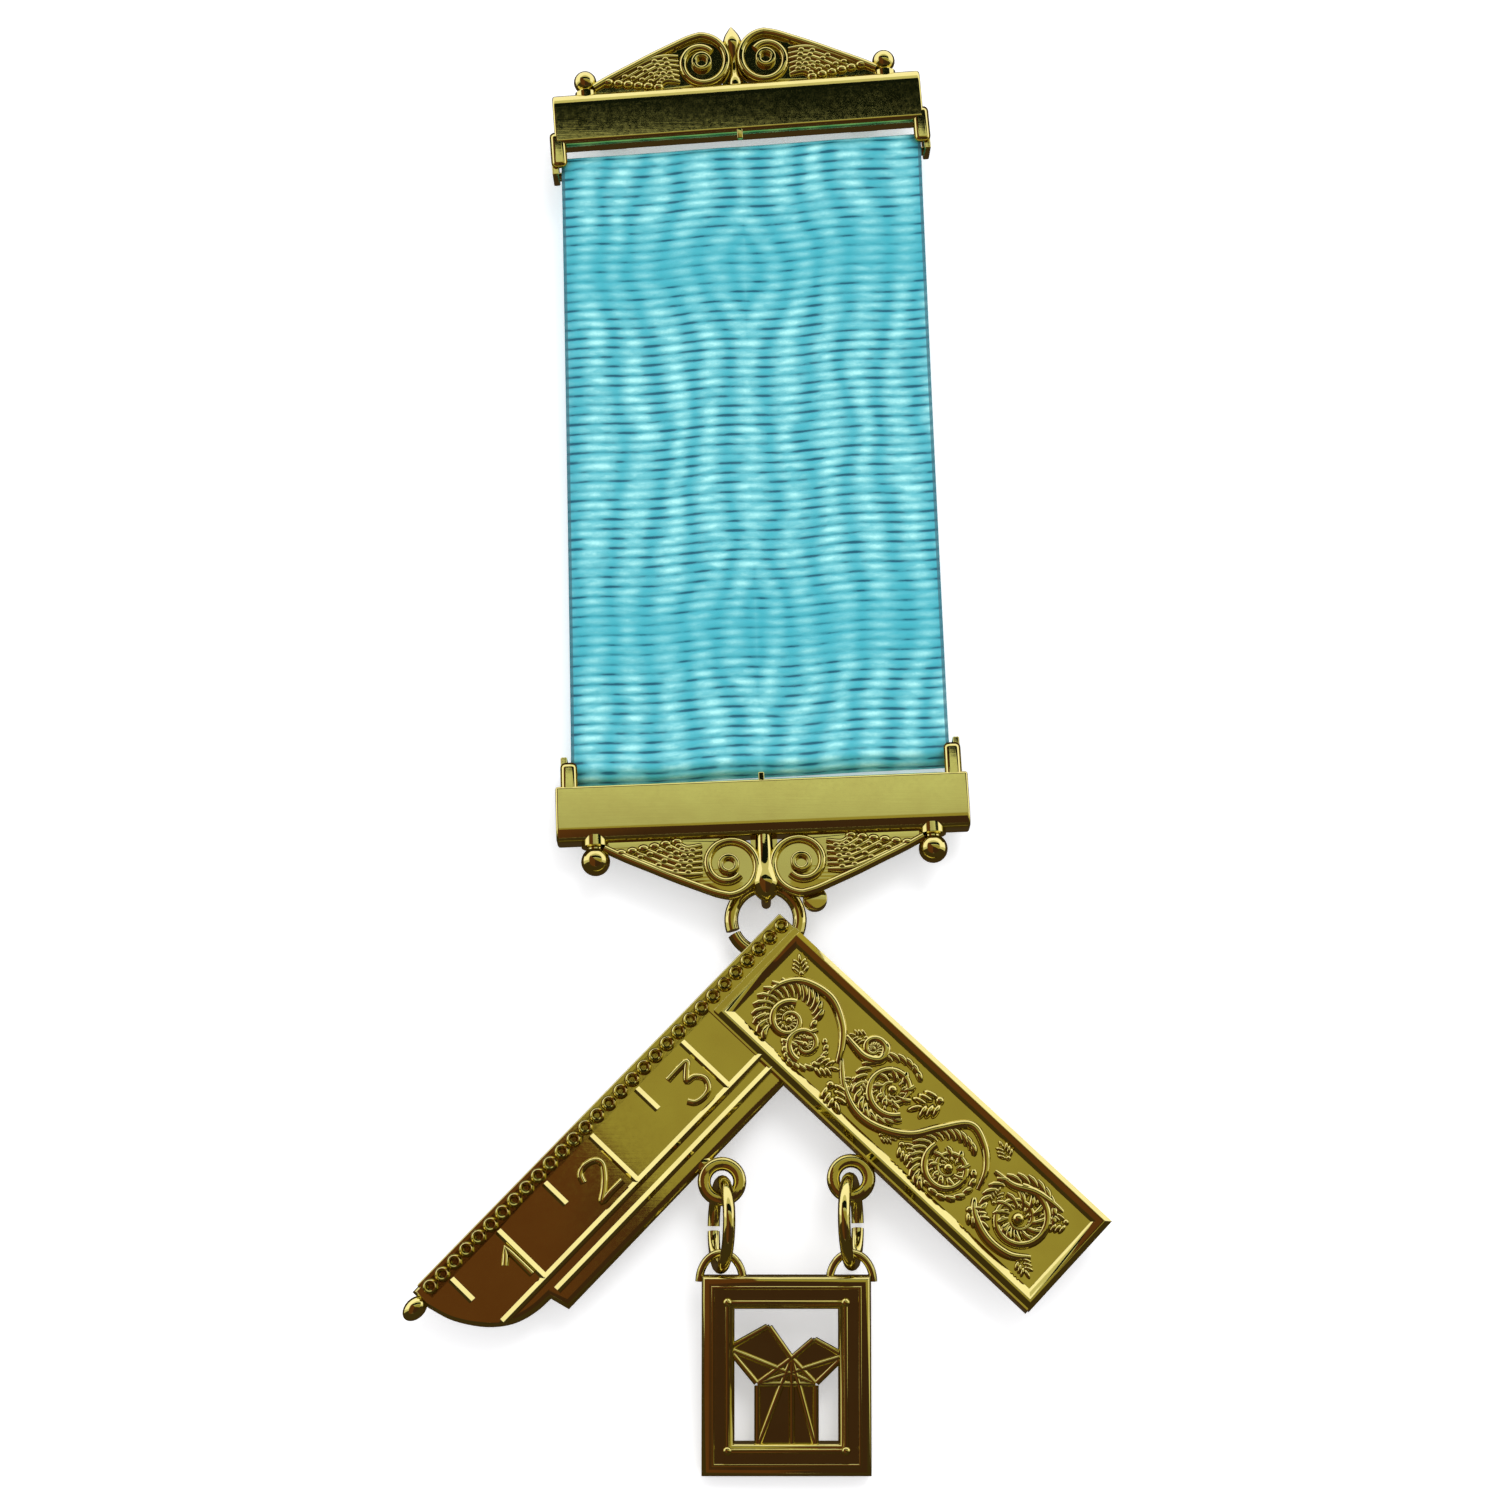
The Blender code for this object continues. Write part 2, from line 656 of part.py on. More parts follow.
def pendant_place():
    left, right = eyelet_places()
    hold = Vector(((left.x + right.x) / 2, (left.y + right.y) / 2 - 2 * JUMP_MEAN, (left.z + right.z) / 2))
    arm = FRAME_HEIGHT + JUMP_WIRE / 2 + LOOP_GAP
    depth = FRAME_DEPTH / 2
    tilt = math.asin(hold.z / math.hypot(arm, depth)) - math.atan2(depth, arm)
    turn = Matrix.Rotation(tilt, 4, "X")
    seat = turn @ Vector((0.0, FRAME_HEIGHT / 2 + JUMP_WIRE / 2 + LOOP_GAP, 0.0))
    return Matrix.Translation(hold - seat) @ turn


def loop_spread():
    left, right = eyelet_places()
    return (right.x - left.x) / 2


# Nodes

def top_bar():
    place = top_bar_place()
    upright = Matrix.Translation((0.0, TOP_BAR_HEIGHT / 2, 0.0))
    shapes = [bar_body(TOP_BAR_WIDTH, TOP_BAR_HEIGHT)]
    for shape in crest(TOP_BAR_WIDTH / 2, TOP_CREST_RISE, TOP_BALL_RADIUS, TOP_BUD, TOP_BUD_RADIUS,
                       TOP_BUD_RISE):
        shapes.append(moved(shape, upright))
    shapes += hanger(TOP_BAR_WIDTH, TOP_BAR_HEIGHT, TOP_RIBBON_SPACE, 0.0)
    to_bar = place.inverted() @ fitting_place()
    top = TOP_BAR_LIFT + FITTING_SEAT
    for side in (1, -1):
        block = box((FITTING_WIDTH, FITTING_LENGTH, top), (side * FITTING_SPREAD, 0.0, top / 2))
        shapes.append(moved(block, to_bar))
    bore = PIN_RADIUS + LINK_GAP
    across = Matrix.Translation((PIN_START + FITTING_WIDTH / 2, 0.0, PIN_HEIGHT))
    hole = drum(bore, FITTING_WIDTH, across @ Matrix.Rotation(math.radians(90), 4, "Y"), 10)
    slot = box((FITTING_WIDTH * 2, FITTING_LENGTH, 2 * bore),
               (FITTING_SPREAD, -FITTING_LENGTH / 2 + bore, PIN_HEIGHT))
    cuts = [moved(hole, to_bar), moved(slot, to_bar)]
    return fuse("top_bar", shapes, cuts), place


def brooch_pin():
    start = PIN_START + LINK_GAP
    end = FITTING_SPREAD + FITTING_WIDTH
    path = [(start, 0.0, PIN_HEIGHT), (FITTING_SPREAD, 0.0, PIN_HEIGHT), (end, 0.0, PIN_HEIGHT)]
    return rail(path, PIN_RADIUS, [1.0, 1.0, 0.3]), fitting_place()


def lower_bar():
    inverted = half_turn() @ Matrix.Translation((0.0, LOWER_BAR_HEIGHT / 2, 0.0))
    shapes = [bar_body(LOWER_BAR_WIDTH, LOWER_BAR_HEIGHT)]
    rise = LOWER_CREST_RISE
    for shape in crest(LOWER_BAR_WIDTH / 2, rise, LOWER_BALL_RADIUS, LOWER_BUD, LOWER_BUD_RADIUS,
                       LOWER_BUD_RISE):
        shapes.append(moved(shape, inverted))
    for shape in hanger(LOWER_BAR_WIDTH, LOWER_BAR_HEIGHT, LOWER_RIBBON_SPACE, LOWER_ROD_SKEW):
        shapes.append(moved(shape, half_turn()))
    place = lower_bar_place()
    centre = ring_centre()
    foot = Matrix.Translation((centre.x, centre.y + RING_MEAN, STAPLE_BACK))
    arch = staple_into(STAPLE_BACK - FLOOR_GAP - STAPLE_WIRE / 2, STAPLE_SPREAD)
    along_y = foot @ Matrix.Rotation(math.radians(90), 4, "Z")
    shapes.append(moved(arch, place.inverted() @ along_y))
    lug_y = -(LOWER_BAR_HEIGHT / 2 + rise + LUG_RADIUS * 0.3)
    lug = Matrix.Translation((VOLUTE_AT[0] * LOWER_BAR_WIDTH / 2 + LUG_RADIUS, lug_y, -BAR_DEPTH * 0.27))
    shapes.append(drum(LUG_RADIUS, BAR_DEPTH * 0.4, lug))
    return fuse("lower_bar", shapes), place


def ribbon():
    """A flat loop: its section is drawn in length and thickness, and drawn out over the width."""
    lower, upper = rod_places()
    span = (upper - lower).length
    sections = 14
    outer = loop_outline(span, LOOP_HALF, LAYER_HALF, sections)
    inner = loop_outline(span, LOOP_HALF - RIBBON_WALL, LAYER_HALF - RIBBON_WALL, sections)
    mesh = slab([outer, inner], -RIBBON_WIDTH / 2, RIBBON_WIDTH / 2)
    low_turn = math.tan(LOWER_BAR_TURN + LOWER_ROD_SKEW - RIBBON_LEAN)
    top_turn = math.tan(TOP_BAR_TURN - RIBBON_LEAN)
    for vertex in mesh.vertices:
        along, thick, across = vertex.co
        share = min(max(along / span, 0.0), 1.0)
        shear = low_turn + (top_turn - low_turn) * share
        vertex.co = (across, along + across * shear, thick)
    shape = bmesh.new()
    shape.from_mesh(mesh)
    bmesh.ops.recalc_face_normals(shape, faces=shape.faces)
    shape.to_mesh(mesh)
    shape.free()
    slope = math.asin((upper.z - lower.z) / span)
    turn = Matrix.Rotation(RIBBON_LEAN, 4, "Z") @ Matrix.Rotation(slope, 4, "X")
    mesh.name = "ribbon"
    return mesh, Matrix.Translation(lower) @ turn


def loop_outline(span, end_radius, middle_half, sections):
    """Round the rod at 0, along the front, round the rod at span and back, sagging between them."""
    front = []
    back = []
    for index in range(1, sections):
        share = index / sections
        along = span * share
        near_end = max(0.0, 1.0 - min(along, span - along) / RIBBON_PINCH)
        half = middle_half + (end_radius - middle_half) * near_end ** 2
        sag = -RIBBON_SAG * math.sin(math.pi * share)
        front.append((along, sag + half))
        back.append((along, sag - half))
    low_end = arc((0.0, 0.0), end_radius, 1.5 * math.pi, 0.5 * math.pi, 8)
    top_end = arc((span, 0.0), end_radius, 0.5 * math.pi, -0.5 * math.pi, 8)
    return low_end + front + top_end + back[::-1]


def big_ring():
    start = RING_CUT_AT + RING_CUT / 2
    end = RING_CUT_AT - RING_CUT / 2 + 2 * math.pi
    path = arc((0.0, 0.0), RING_MEAN, start, end, 22)
    return rail(lifted(path, 0.0), RING_WIRE / 2), Matrix.Translation(ring_centre())


def jump_ring(index):
    """Stands across the eyelet and the pendant's loop, its top leaning towards the middle."""
    eyelet = eyelet_places()[index]
    centre = eyelet - Vector((0.0, JUMP_MEAN, 0.0))
    path = arc((0.0, 0.0), JUMP_MEAN, JUMP_CUT / 2, 2 * math.pi - JUMP_CUT / 2, 20)
    lean = JUMP_LEAN if index == 0 else -JUMP_LEAN
    upright = Matrix.Rotation(lean, 4, "Y") @ Matrix.Rotation(math.radians(90), 4, "Y")
    return rail(lifted(path, 0.0), JUMP_WIRE / 2), Matrix.Translation(centre) @ upright


def rule_outline():
    """The rule's edge from its outer corner, with the curved end."""
    step_along = RULE_TIP_START - RULE_STEP_LEAD
    outline = [(0.0, 0.0), (RULE_LENGTH, 0.0)]
    outline += [(RULE_TIP_START + x * RULE_TIP_LENGTH, y * RULE_TIP_BREADTH) for x, y in reversed(RULE_TIP)]
    outline += [(step_along, ARM_BREADTH), (0.0, ARM_BREADTH)]
    return outline


def square():
    shapes = [slab([rule_outline()], 0.0, SQUARE_DEPTH * 0.62)]
    shapes.append(rule_field())
    shapes.append(rule_moulding(RULE_LINE, RULE_LENGTH - MOULDING_END, 0.92))
    shapes.append(rule_moulding(RULE_STEP_LINE, RULE_LENGTH - STEP_MOULDING_END, 0.86))
    shapes += bead_band()
    shapes += rule_marks()
    shapes += panel()
    for x, y in eyelet_spots():
        shapes += eyelet(x, y)
    reach = TIP_BALL_RADIUS
    shapes.append(ball(reach, (RULE_LENGTH + reach * 0.75, reach * 1.2, SQUARE_DEPTH / 2)))
    place = square_place()
    centre = ring_centre()
    heading = Matrix.Rotation(STAPLE_BEARING, 4, "Z")
    seat = centre + RING_MEAN * Vector((math.cos(STAPLE_BEARING), math.sin(STAPLE_BEARING), 0.0))
    foot = Matrix.Translation((seat.x, seat.y, STAPLE_BACK)) @ heading
    arch = staple_into(STAPLE_BACK - FLOOR_GAP - STAPLE_WIRE / 2, STAPLE_SPREAD)
    shapes.append(moved(arch, place.inverted() @ foot))
    return fuse("square", shapes), place


def rule_field():
    """The raised face between the bead band and the first moulding."""
    inset = RULE_FIELD_INSET
    edge = RULE_FIELD_EDGE
    inner = RULE_LINE - edge / 6
    curve = [(RULE_TIP_START + x * RULE_TIP_LENGTH - inset, y * RULE_TIP_BREADTH - inset) for x, y in RULE_TIP
             if y * RULE_TIP_BREADTH < RULE_LINE]
    outline = [(edge, edge), (RULE_LENGTH - edge * 2 / 3, edge)]
    outline += curve[::-1]
    outline += [(RULE_LENGTH - RULE_FIELD_END, inner), (edge, inner)]
    return slab([outline], SQUARE_DEPTH * 0.3, SQUARE_DEPTH * 0.86)


def rule_moulding(across, end, height):
    start = ARM_BREADTH - MOULDING_LAP
    middle = (start + end) / 2
    top = SQUARE_DEPTH * height + LINE_RISE
    return box((end - start, LINE_WIDTH, top - SQUARE_DEPTH * 0.4),
               (middle, across, (top + SQUARE_DEPTH * 0.4) / 2))


def bead_band():
    """A fillet along the outer edge that carries a row of low square beads."""
    face = SQUARE_DEPTH * 0.93
    length = RULE_LENGTH - BEAD_BAND_END
    shapes = [box((length, BEAD_BAND, face - SQUARE_DEPTH * 0.2),
                  (length / 2, BEAD_BAND / 2, (face + SQUARE_DEPTH * 0.2) / 2))]
    count = int(length / BEAD_PITCH)
    for index in range(count):
        along = (index + 0.5) * length / count
        shapes.append(bead(along, face))
    return shapes


def bead(along, face):
    shape = bmesh.new()
    bmesh.ops.create_cone(shape, cap_ends=True, segments=6, radius1=BEAD_PITCH * 0.42,
                          radius2=BEAD_PITCH * 0.2, depth=BEAD_RISE + BEAD_SINK)
    bmesh.ops.translate(shape, vec=(along, BEAD_BAND / 2, face + (BEAD_RISE - BEAD_SINK) / 2),
                        verts=shape.verts)
    return from_bmesh(shape)


def rule_marks():
    """Three long lines with their digits, and a short line after each."""
    face = SQUARE_DEPTH * 0.86
    shapes = []
    for index in range(6):
        along = RULE_FIRST_MARK + index * RULE_MARK_PITCH
        long_line = index % 2 == 0
        end = RULE_LINE if long_line else BEAD_BAND + RULE_FIELD * 0.45
        start = BEAD_BAND - LINE_LAP
        shapes.append(box((LINE_WIDTH * 0.9, end - start, LINE_RISE + LINE_SINK),
                          (along, (start + end) / 2, face + (LINE_RISE - LINE_SINK) / 2)))
        if long_line:
            text, offset = DIGITS[index // 2]
            shapes.append(digit(text, along + RULE_MARK_PITCH * offset, face))
    return shapes


def digit(text, along, face):
    """A raised digit whose top points to the bead band."""
    curve = bpy.data.curves.new("digit", "FONT")
    curve.body = text
    curve.size = DIGIT_HEIGHT * 1.4
    curve.align_x = "CENTER"
    curve.align_y = "CENTER"
    curve.resolution_u = 1
    curve.extrude = (LINE_RISE + LINE_SINK) / 2
    mesh = as_mesh(bpy.data.objects.new("digit", curve))
    turn = Matrix.Rotation(math.pi, 4, "Z")
    middle = BEAD_BAND + RULE_FIELD * 0.55
    return moved(mesh, Matrix.Translation((along, middle, face + (LINE_RISE - LINE_SINK) / 2)) @ turn)


def rectangle(x0, y0, x1, y1):
    return [(x0, y0), (x1, y0), (x1, y1), (x0, y1)]


def panel():
    """The bordered panel with its sunk field and the scrolls on it."""
    x0, x1 = 0.0, ARM_BREADTH - PANEL_REVEAL
    y0, y1 = BEAD_BAND + PANEL_SEAM, BEAD_BAND + PANEL_LENGTH
    back, face = SQUARE_DEPTH * 0.1, SQUARE_DEPTH * 1.1
    border = PANEL_BORDER
    frame = [rectangle(x0, y0, x1, y1), rectangle(x0 + border, y0 + border, x1 - border, y1 - border)]
    base = rectangle(PANEL_SEAM / 2, BEAD_BAND - PANEL_LAP, ARM_BREADTH, y1 - PANEL_SEAM)
    shapes = [slab([base], SEAM * 1.5, face - PANEL_SINK)]
    shapes.append(slab(frame, back, face, PANEL_BORDER * 0.3))
    return shapes + panel_relief((x0 + border, y0 + border, x1 - border, y1 - border), face - PANEL_SINK)


def panel_relief(field, floor):
    x0, y0, x1, y1 = field
    length, breadth = y1 - y0, x1 - x0
    height = floor + VINE_LIFT
    shapes = []
    ends = []
    for along, across, radius, start, turns in PANEL_SCROLLS:
        centre = (x0 + across * breadth, y0 + along * length)
        outer = radius * breadth
        steps = 14
        path = spiral(centre, outer, outer * 0.3, math.radians(start), turns, steps)
        taper = [1.0 - 0.35 * i / steps for i in range(steps + 1)]
        shapes.append(rail(lifted(path, height), VINE_RADIUS, taper))
        shapes.append(ball(outer * 0.24, (centre[0], centre[1], height), around=8, along=6))
        ends.append(path[0])
    for near, far in zip(ends, ends[1:]):
        sway = 0.06 * length
        bend = ((near[0] + far[0]) / 2 - 0.12 * breadth, (near[1] + far[1]) / 2 + 0.2 * sway)
        path = smooth([near, bend, far], 4)
        shapes.append(rail(lifted(path, height - VINE_LIFT * 0.6), VINE_RADIUS * 0.9))
    for along, across, size, width, heading in PANEL_LEAVES:
        centre = (x0 + across * breadth, y0 + along * length, height)
        shapes.append(ball(size * breadth / 2 * 1.6, centre, (1.0, width / size, 0.35),
                           math.radians(90 - heading), 8, 6))
    return shapes


def eyelet(x, y):
    """A flat ring in the square's own plane, soldered to the arm's inner edge."""
    low = (SQUARE_DEPTH - EYELET_DEPTH) / 2
    rings = [circle((x, y), EYELET_RADIUS, 16), circle((x, y), EYELET_HOLE, 12)]
    shapes = [slab(rings, low, low + EYELET_DEPTH, EYELET_CHAMFER)]
    on_rule = x > y
    inward = Vector((0.0, -1.0, 0.0)) if on_rule else Vector((-1.0, 0.0, 0.0))
    spot = Vector((x, y, SQUARE_DEPTH * 0.45)) + inward * (EYELET_RADIUS + SOLDER_SEAT)
    length, seat, depth = SOLDER_LENGTH, SOLDER_WIDTH, EYELET_DEPTH * 0.7
    shapes.append(box((length, seat, depth) if on_rule else (seat, length, depth), spot))
    return shapes


def pendant():
    half_w, half_h = FRAME_WIDTH / 2, FRAME_HEIGHT / 2
    back, front = -FRAME_DEPTH / 2, FRAME_DEPTH / 2
    window = (half_w - FRAME_RAIL, half_h - FRAME_RAIL)
    frame = [rectangle(-half_w, -half_h, half_w, half_h),
             rectangle(-window[0], -window[1], window[0], window[1])]
    shapes = [slab(frame, back, front, FRAME_CHAMFER)]
    bead = FRAME_BEAD_INSET
    inner = bead + FRAME_BEAD_WIDTH
    fillet = [rectangle(bead - half_w, bead - half_h, half_w - bead, half_h - bead),
              rectangle(inner - half_w, inner - half_h, half_w - inner, half_h - inner)]
    shapes.append(slab(fillet, 0.0, front + FRAME_BEAD_RISE))
    shapes += figure(window)
    for side in (1, -1):
        shapes.append(pendant_loop(side * loop_spread()))
    return fuse("pendant", shapes), pendant_place()


def figure(window):
    """The triangle and the squares on its sides as thin plates, with the raised construction lines."""
    at = {name: (x * window[0], y * window[1]) for name, (x, y) in FIGURE.items()}
    low, high = -FIGURE_DEPTH / 2, FIGURE_DEPTH / 2
    outline = [at["foot_left"], at["foot_right"], at["base_right"], at["right_far"], at["right_near"],
               at["apex"], at["left_near"], at["left_far"], at["base_left"]]
    shapes = [slab([outline], low, high)]
    foot = ((at["apex"][0]), at["foot_left"][1])
    lines = ((at["base_right"], at["left_far"]), (at["base_left"], at["right_far"]),
             (at["apex"], at["foot_left"]), (at["apex"], at["foot_right"]), (at["apex"], foot),
             (at["base_left"], at["base_right"]), (at["base_left"], at["apex"]),
             (at["apex"], at["base_right"]))
    for index, (start, end) in enumerate(lines):
        height = high + SEAM * index / 2
        run = Vector(end) - Vector(start)
        short = Vector(start) + run * 0.03
        stop = Vector(end) - run * 0.03
        shapes.append(rail([(short.x, short.y, height), (stop.x, stop.y, height)], LINE_WIDTH * 0.5))
    return shapes


def pendant_loop(x):
    """A half-round loop standing on the frame's top edge, with room for the jump ring's wire."""
    foot = FRAME_HEIGHT / 2 - LOOP_SEAT
    rise = JUMP_WIRE + 2 * LOOP_GAP + LOOP_WIRE / 2 + LOOP_SEAT
    half = (LOOP_WIDTH - LOOP_WIRE) / 2
    path = [(x + half * math.cos(a), foot + rise * math.sin(a), 0.0)
            for a in (math.pi * i / 10 for i in range(11))]
    return rail(path, LOOP_WIRE / 2)


# Assembly

def add_node(name, mesh, place, material, collection, holder):
    obj = bpy.data.objects.new(name, mesh)
    mesh.materials.clear()
    mesh.materials.append(material)
    mesh.shade_smooth()
    mesh.set_sharp_from_angle(angle=math.radians(35))
    collection.objects.link(obj)
    obj.parent = holder
    obj.matrix_local = place
    return obj


def rest_over_origin(nodes, holder):
    """Moves the whole jewel so that the middle of its box is over the origin and its lowest point at 0."""
    bpy.context.view_layer.update()
    corners = [node.matrix_world @ vertex.co for node in nodes for vertex in node.data.vertices]
    low = [min(c[i] for c in corners) for i in range(3)]
    high = [max(c[i] for c in corners) for i in range(3)]
    holder.location = (-(low[0] + high[0]) / 2, -(low[1] + high[1]) / 2, -low[2])
    bpy.context.view_layer.update()


def build():
    remove_everything()
    collection = bpy.data.collections.new("breast_jewel")
    bpy.context.scene.collection.children.link(collection)
    holder = bpy.data.objects.new("jewel_middle", None)
    collection.objects.link(holder)
    gold = gilt("gilt")
    silk = cloth("ribbon_silk")
    nodes = []
    for name, (mesh, place), material in (
            ("top_bar", top_bar(), gold),
            ("brooch_pin", brooch_pin(), gold),
            ("ribbon", ribbon(), silk),
            ("lower_bar", lower_bar(), gold),
            ("big_ring", big_ring(), gold),
            ("square", square(), gold),
            ("jump_ring_left", jump_ring(0), gold),
            ("jump_ring_right", jump_ring(1), gold),
            ("pendant", pendant(), gold)):
        nodes.append(add_node(name, mesh, place, material, collection, holder))
    rest_over_origin(nodes, holder)


build()
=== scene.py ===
"""The looks of the gilt breast jewel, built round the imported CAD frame. Metres, +Z up."""

import math

import bmesh
import bpy
from mathutils import Matrix, Vector


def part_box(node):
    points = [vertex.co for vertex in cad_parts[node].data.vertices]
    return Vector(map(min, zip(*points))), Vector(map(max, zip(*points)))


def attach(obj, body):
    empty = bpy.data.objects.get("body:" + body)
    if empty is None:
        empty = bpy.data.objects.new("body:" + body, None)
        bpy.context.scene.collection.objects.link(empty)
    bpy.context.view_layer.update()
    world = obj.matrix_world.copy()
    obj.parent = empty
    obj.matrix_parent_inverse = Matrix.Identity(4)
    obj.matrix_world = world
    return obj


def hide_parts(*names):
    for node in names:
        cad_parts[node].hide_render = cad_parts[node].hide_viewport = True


MM = 0.001

# Camera of the photo: its tilt from the vertical and its distance from the point it looks at
CAMERA_TILT = math.radians(15.0)
CAMERA_DISTANCE = 254.0 * MM
CAMERA_AIM = (-0.644 * MM, -2.543 * MM, 0.0)
FOCAL_LENGTH = 72.29

# Bars
TOP_BAR = {"node": "top_bar", "width": 32.3 * MM, "height": 4.7 * MM, "rise": 4.7 * MM,
           "turn": math.radians(4.5), "tilt": math.radians(5.0), "ball": 1.0 * MM,
           "bud_radius": 0.85 * MM, "bud_rise": 5.5 * MM, "space": 0.3 * MM, "skew": 0.0,
           "upper_roll": (1.25 * MM, 0.75 * MM), "lower_roll": (0.45 * MM, 0.40 * MM)}
LOWER_BAR = {"node": "lower_bar", "width": 34.1 * MM, "height": 4.7 * MM, "rise": 5.0 * MM,
             "turn": math.radians(2.3), "tilt": math.radians(-3.2), "ball": 1.2 * MM,
             "bud_radius": 1.2 * MM, "bud_rise": 5.5 * MM, "space": 0.6 * MM, "skew": math.radians(0.9),
             "upper_roll": (0.25 * MM, 0.25 * MM), "lower_roll": (1.15 * MM, 0.70 * MM)}
BAR_DEPTH = 2.4 * MM
BAR_ROUNDING = 0.24 * MM
BACK_INSET = 0.05 * MM
BACK_CHAMFER = 0.2 * MM
ROLL_STEPS = 12
CREST_ROOT = 0.35 * MM
BALL_ALONG = 0.815
PLATE_FRONT = 0.3 * MM
PLATE_CHAMFER = 0.12 * MM
WEB_INSET = 0.05 * MM
WEB_FRONT = -0.1 * MM
RIM_RADIUS = 0.36 * MM
RIM_LIFT = 0.12 * MM
FINGERS = 6
FINGER_RADIUS = 0.336 * MM
FINGER_LIFT = 0.08 * MM
FINGER_STEP = 0.05 * MM
FINGER_TIP = 0.42 * MM
FINGER_BEAD = 0.27 * MM
FINGER_BEAD_LIFT = 0.16 * MM
FINGER_BEAD_SPOTS = (5, 8, 11, 14)
VOLUTE_RADIUS = 2.2 * MM
EYE_RADIUS = 0.9 * MM
EYE_RISE = 0.55 * MM
EYE_CHAMFER = 0.15 * MM
PIT_RADIUS = 0.42 * MM
VOLUTE_AT = (0.175, 0.475)
LUG_RADIUS = 1.0 * MM
LUG_BACK = -0.47 * BAR_DEPTH
LUG_FRONT = -0.07 * BAR_DEPTH
LUG_CHAMFER = 0.1 * MM
FITTING_SPREAD = 11.2 * MM
FITTING_OFFSET = 0.8 * MM
FITTING_SIZE = (2.6 * MM, 3.0 * MM, 3.6 * MM)
FITTING_ROUNDING = 0.15 * MM
TOP_BAR_LIFT = 3.2 * MM
PIN_START = -12.66 * MM
PIN_POINT = 13.8 * MM
PIN_RADIUS = 0.4 * MM
STAPLE_DROP = 2.24 * MM
STAPLE_SPREAD = 1.28 * MM
STAPLE_WIRE = 0.8 * MM
STAPLE_SINK = 0.45 * MM
STAPLE_OFFSET = 3.7 * MM

# Hangers and the ribbon
RIBBON_WIDTH = 31.5 * MM
RIBBON_DROP = 57.6 * MM
RIBBON_LEAN = math.radians(1.7)
RIBBON_SAG = 0.75 * MM
RIBBON_RISE = 1.0 * MM
PINCH_LENGTH = 4.0 * MM
RUN_PER_UV = 100.0 * MM
LOOP_HALF = 1.7 * MM
CLOTH_GAP = 0.3 * MM
FOLD_RADIUS = 1.25 * MM
LAYER_HALF = 0.95 * MM
CLOTH_THICKNESS = 0.3 * MM
RIB_PITCH = 0.87 * MM
RIB_RISE = 0.03 * MM
RIB_ROWS = 6
RIB_SWAY = 0.12 * MM
RIB_SWAY_LENGTH = 11.4 * MM
WATER_PITCH = 3.4 * MM
WATER_PERIOD = 33.0 * MM
WATER_EYE = 48.5 * MM
ROD_RADIUS = 0.4 * MM
ROD_SETBACK = 1.4 * MM
ARM_WIDTH = 1.4 * MM
CHEEK_WIDTH = 0.6 * MM
STRAP_SETBACK = 0.02 * MM
STRAP_ROUNDING = 0.45 * MM
CHEEK_OVERHANG = 0.6 * MM
CHEEK_LAP = 0.2 * MM
CHEEK_PLAY = 0.04 * MM
CHEEK_ROUNDING = 0.12 * MM
TICK_WIDTH = 0.5 * MM
TICK_DROP = 0.35 * LOOP_HALF
TICK_ROUNDING = 0.1 * MM

# Square
SQUARE_TURN = math.radians(226.35)
SQUARE_SLOPE = math.radians(1.2)
SQUARE_DEPTH = 2.0 * MM
ARM_BREADTH = 9.9 * MM
RULE_LENGTH = 42.2 * MM
PANEL_LENGTH = 34.6 * MM
BEAD_BAND = 1.75 * MM
BEAD_PITCH = 1.34 * MM
BEAD_RADIUS = BEAD_PITCH * 0.47
BEAD_SINK = 0.02 * MM
BAND_END = 0.6 * MM
BAND_ROUNDING = 0.15 * MM
RULE_LINE = 6.9 * MM
RULE_STEP_LINE = 8.2 * MM
RULE_BASE = SQUARE_DEPTH * 0.62
RULE_FACE = SQUARE_DEPTH * 0.86
RULE_ROUNDING = 0.6 * MM
RULE_STEP = 0.4 * MM
RULE_TIP_LENGTH = 7.2 * MM
RULE_TIP_BREADTH = RULE_STEP_LINE + 0.1 * MM
KNOB_RADIUS = 1.0 * MM
FIELD_EDGE = 0.3 * MM
FIELD_END = 0.2 * MM
FIELD_TIP_INSET = 0.15 * MM
FIELD_CUT = 3.0 * MM
FIELD_LIP = 0.05 * MM
FIELD_CHAMFER = 0.1 * MM
MARK_PITCH = 5.24 * MM
FIRST_MARK = 13.2 * MM
MARK_LAP = 0.1 * MM
SHORT_MARK_END = BEAD_BAND + 2.3 * MM
DIGITS = (("3", 0.38), ("2", 0.38), ("1", 0.10))
DIGIT_HALF_WIDTH = 1.2 * MM
DIGIT_HALF_HEIGHT = 1.5 * MM
DIGIT_RADIUS = 0.3 * MM
DIGIT_LIFT = 0.03 * MM
DIGIT_ACROSS = BEAD_BAND + 2.75 * MM
LINE_BREADTH = 0.60 * MM
LINE_CREST = 0.24
LINE_RISE = 0.22 * MM
MOULDING_LAP = 0.6 * MM
PANEL_INSET = 0.25 * MM
PANEL_GAP = 0.1 * MM
PANEL_BACK = SQUARE_DEPTH * 0.1
PANEL_FACE = SQUARE_DEPTH * 1.1
PANEL_SINK = 0.42 * MM
PANEL_CHAMFER = 0.42 * MM
BED_INSET = 0.05 * MM
BED_START = 1.0 * MM
BED_END = 0.1 * MM
BED_BACK = 0.03 * MM
BED_CHAMFER = 0.1 * MM
FILLET_BREADTH = 0.55 * MM
FILLET_INSET = 0.1 * MM
FILLET_SINK = 0.01 * MM
FILLET_ROUNDING = 0.05 * MM
RELIEF_LIFT = 0.05 * MM
VINE_RADIUS = 0.33 * MM
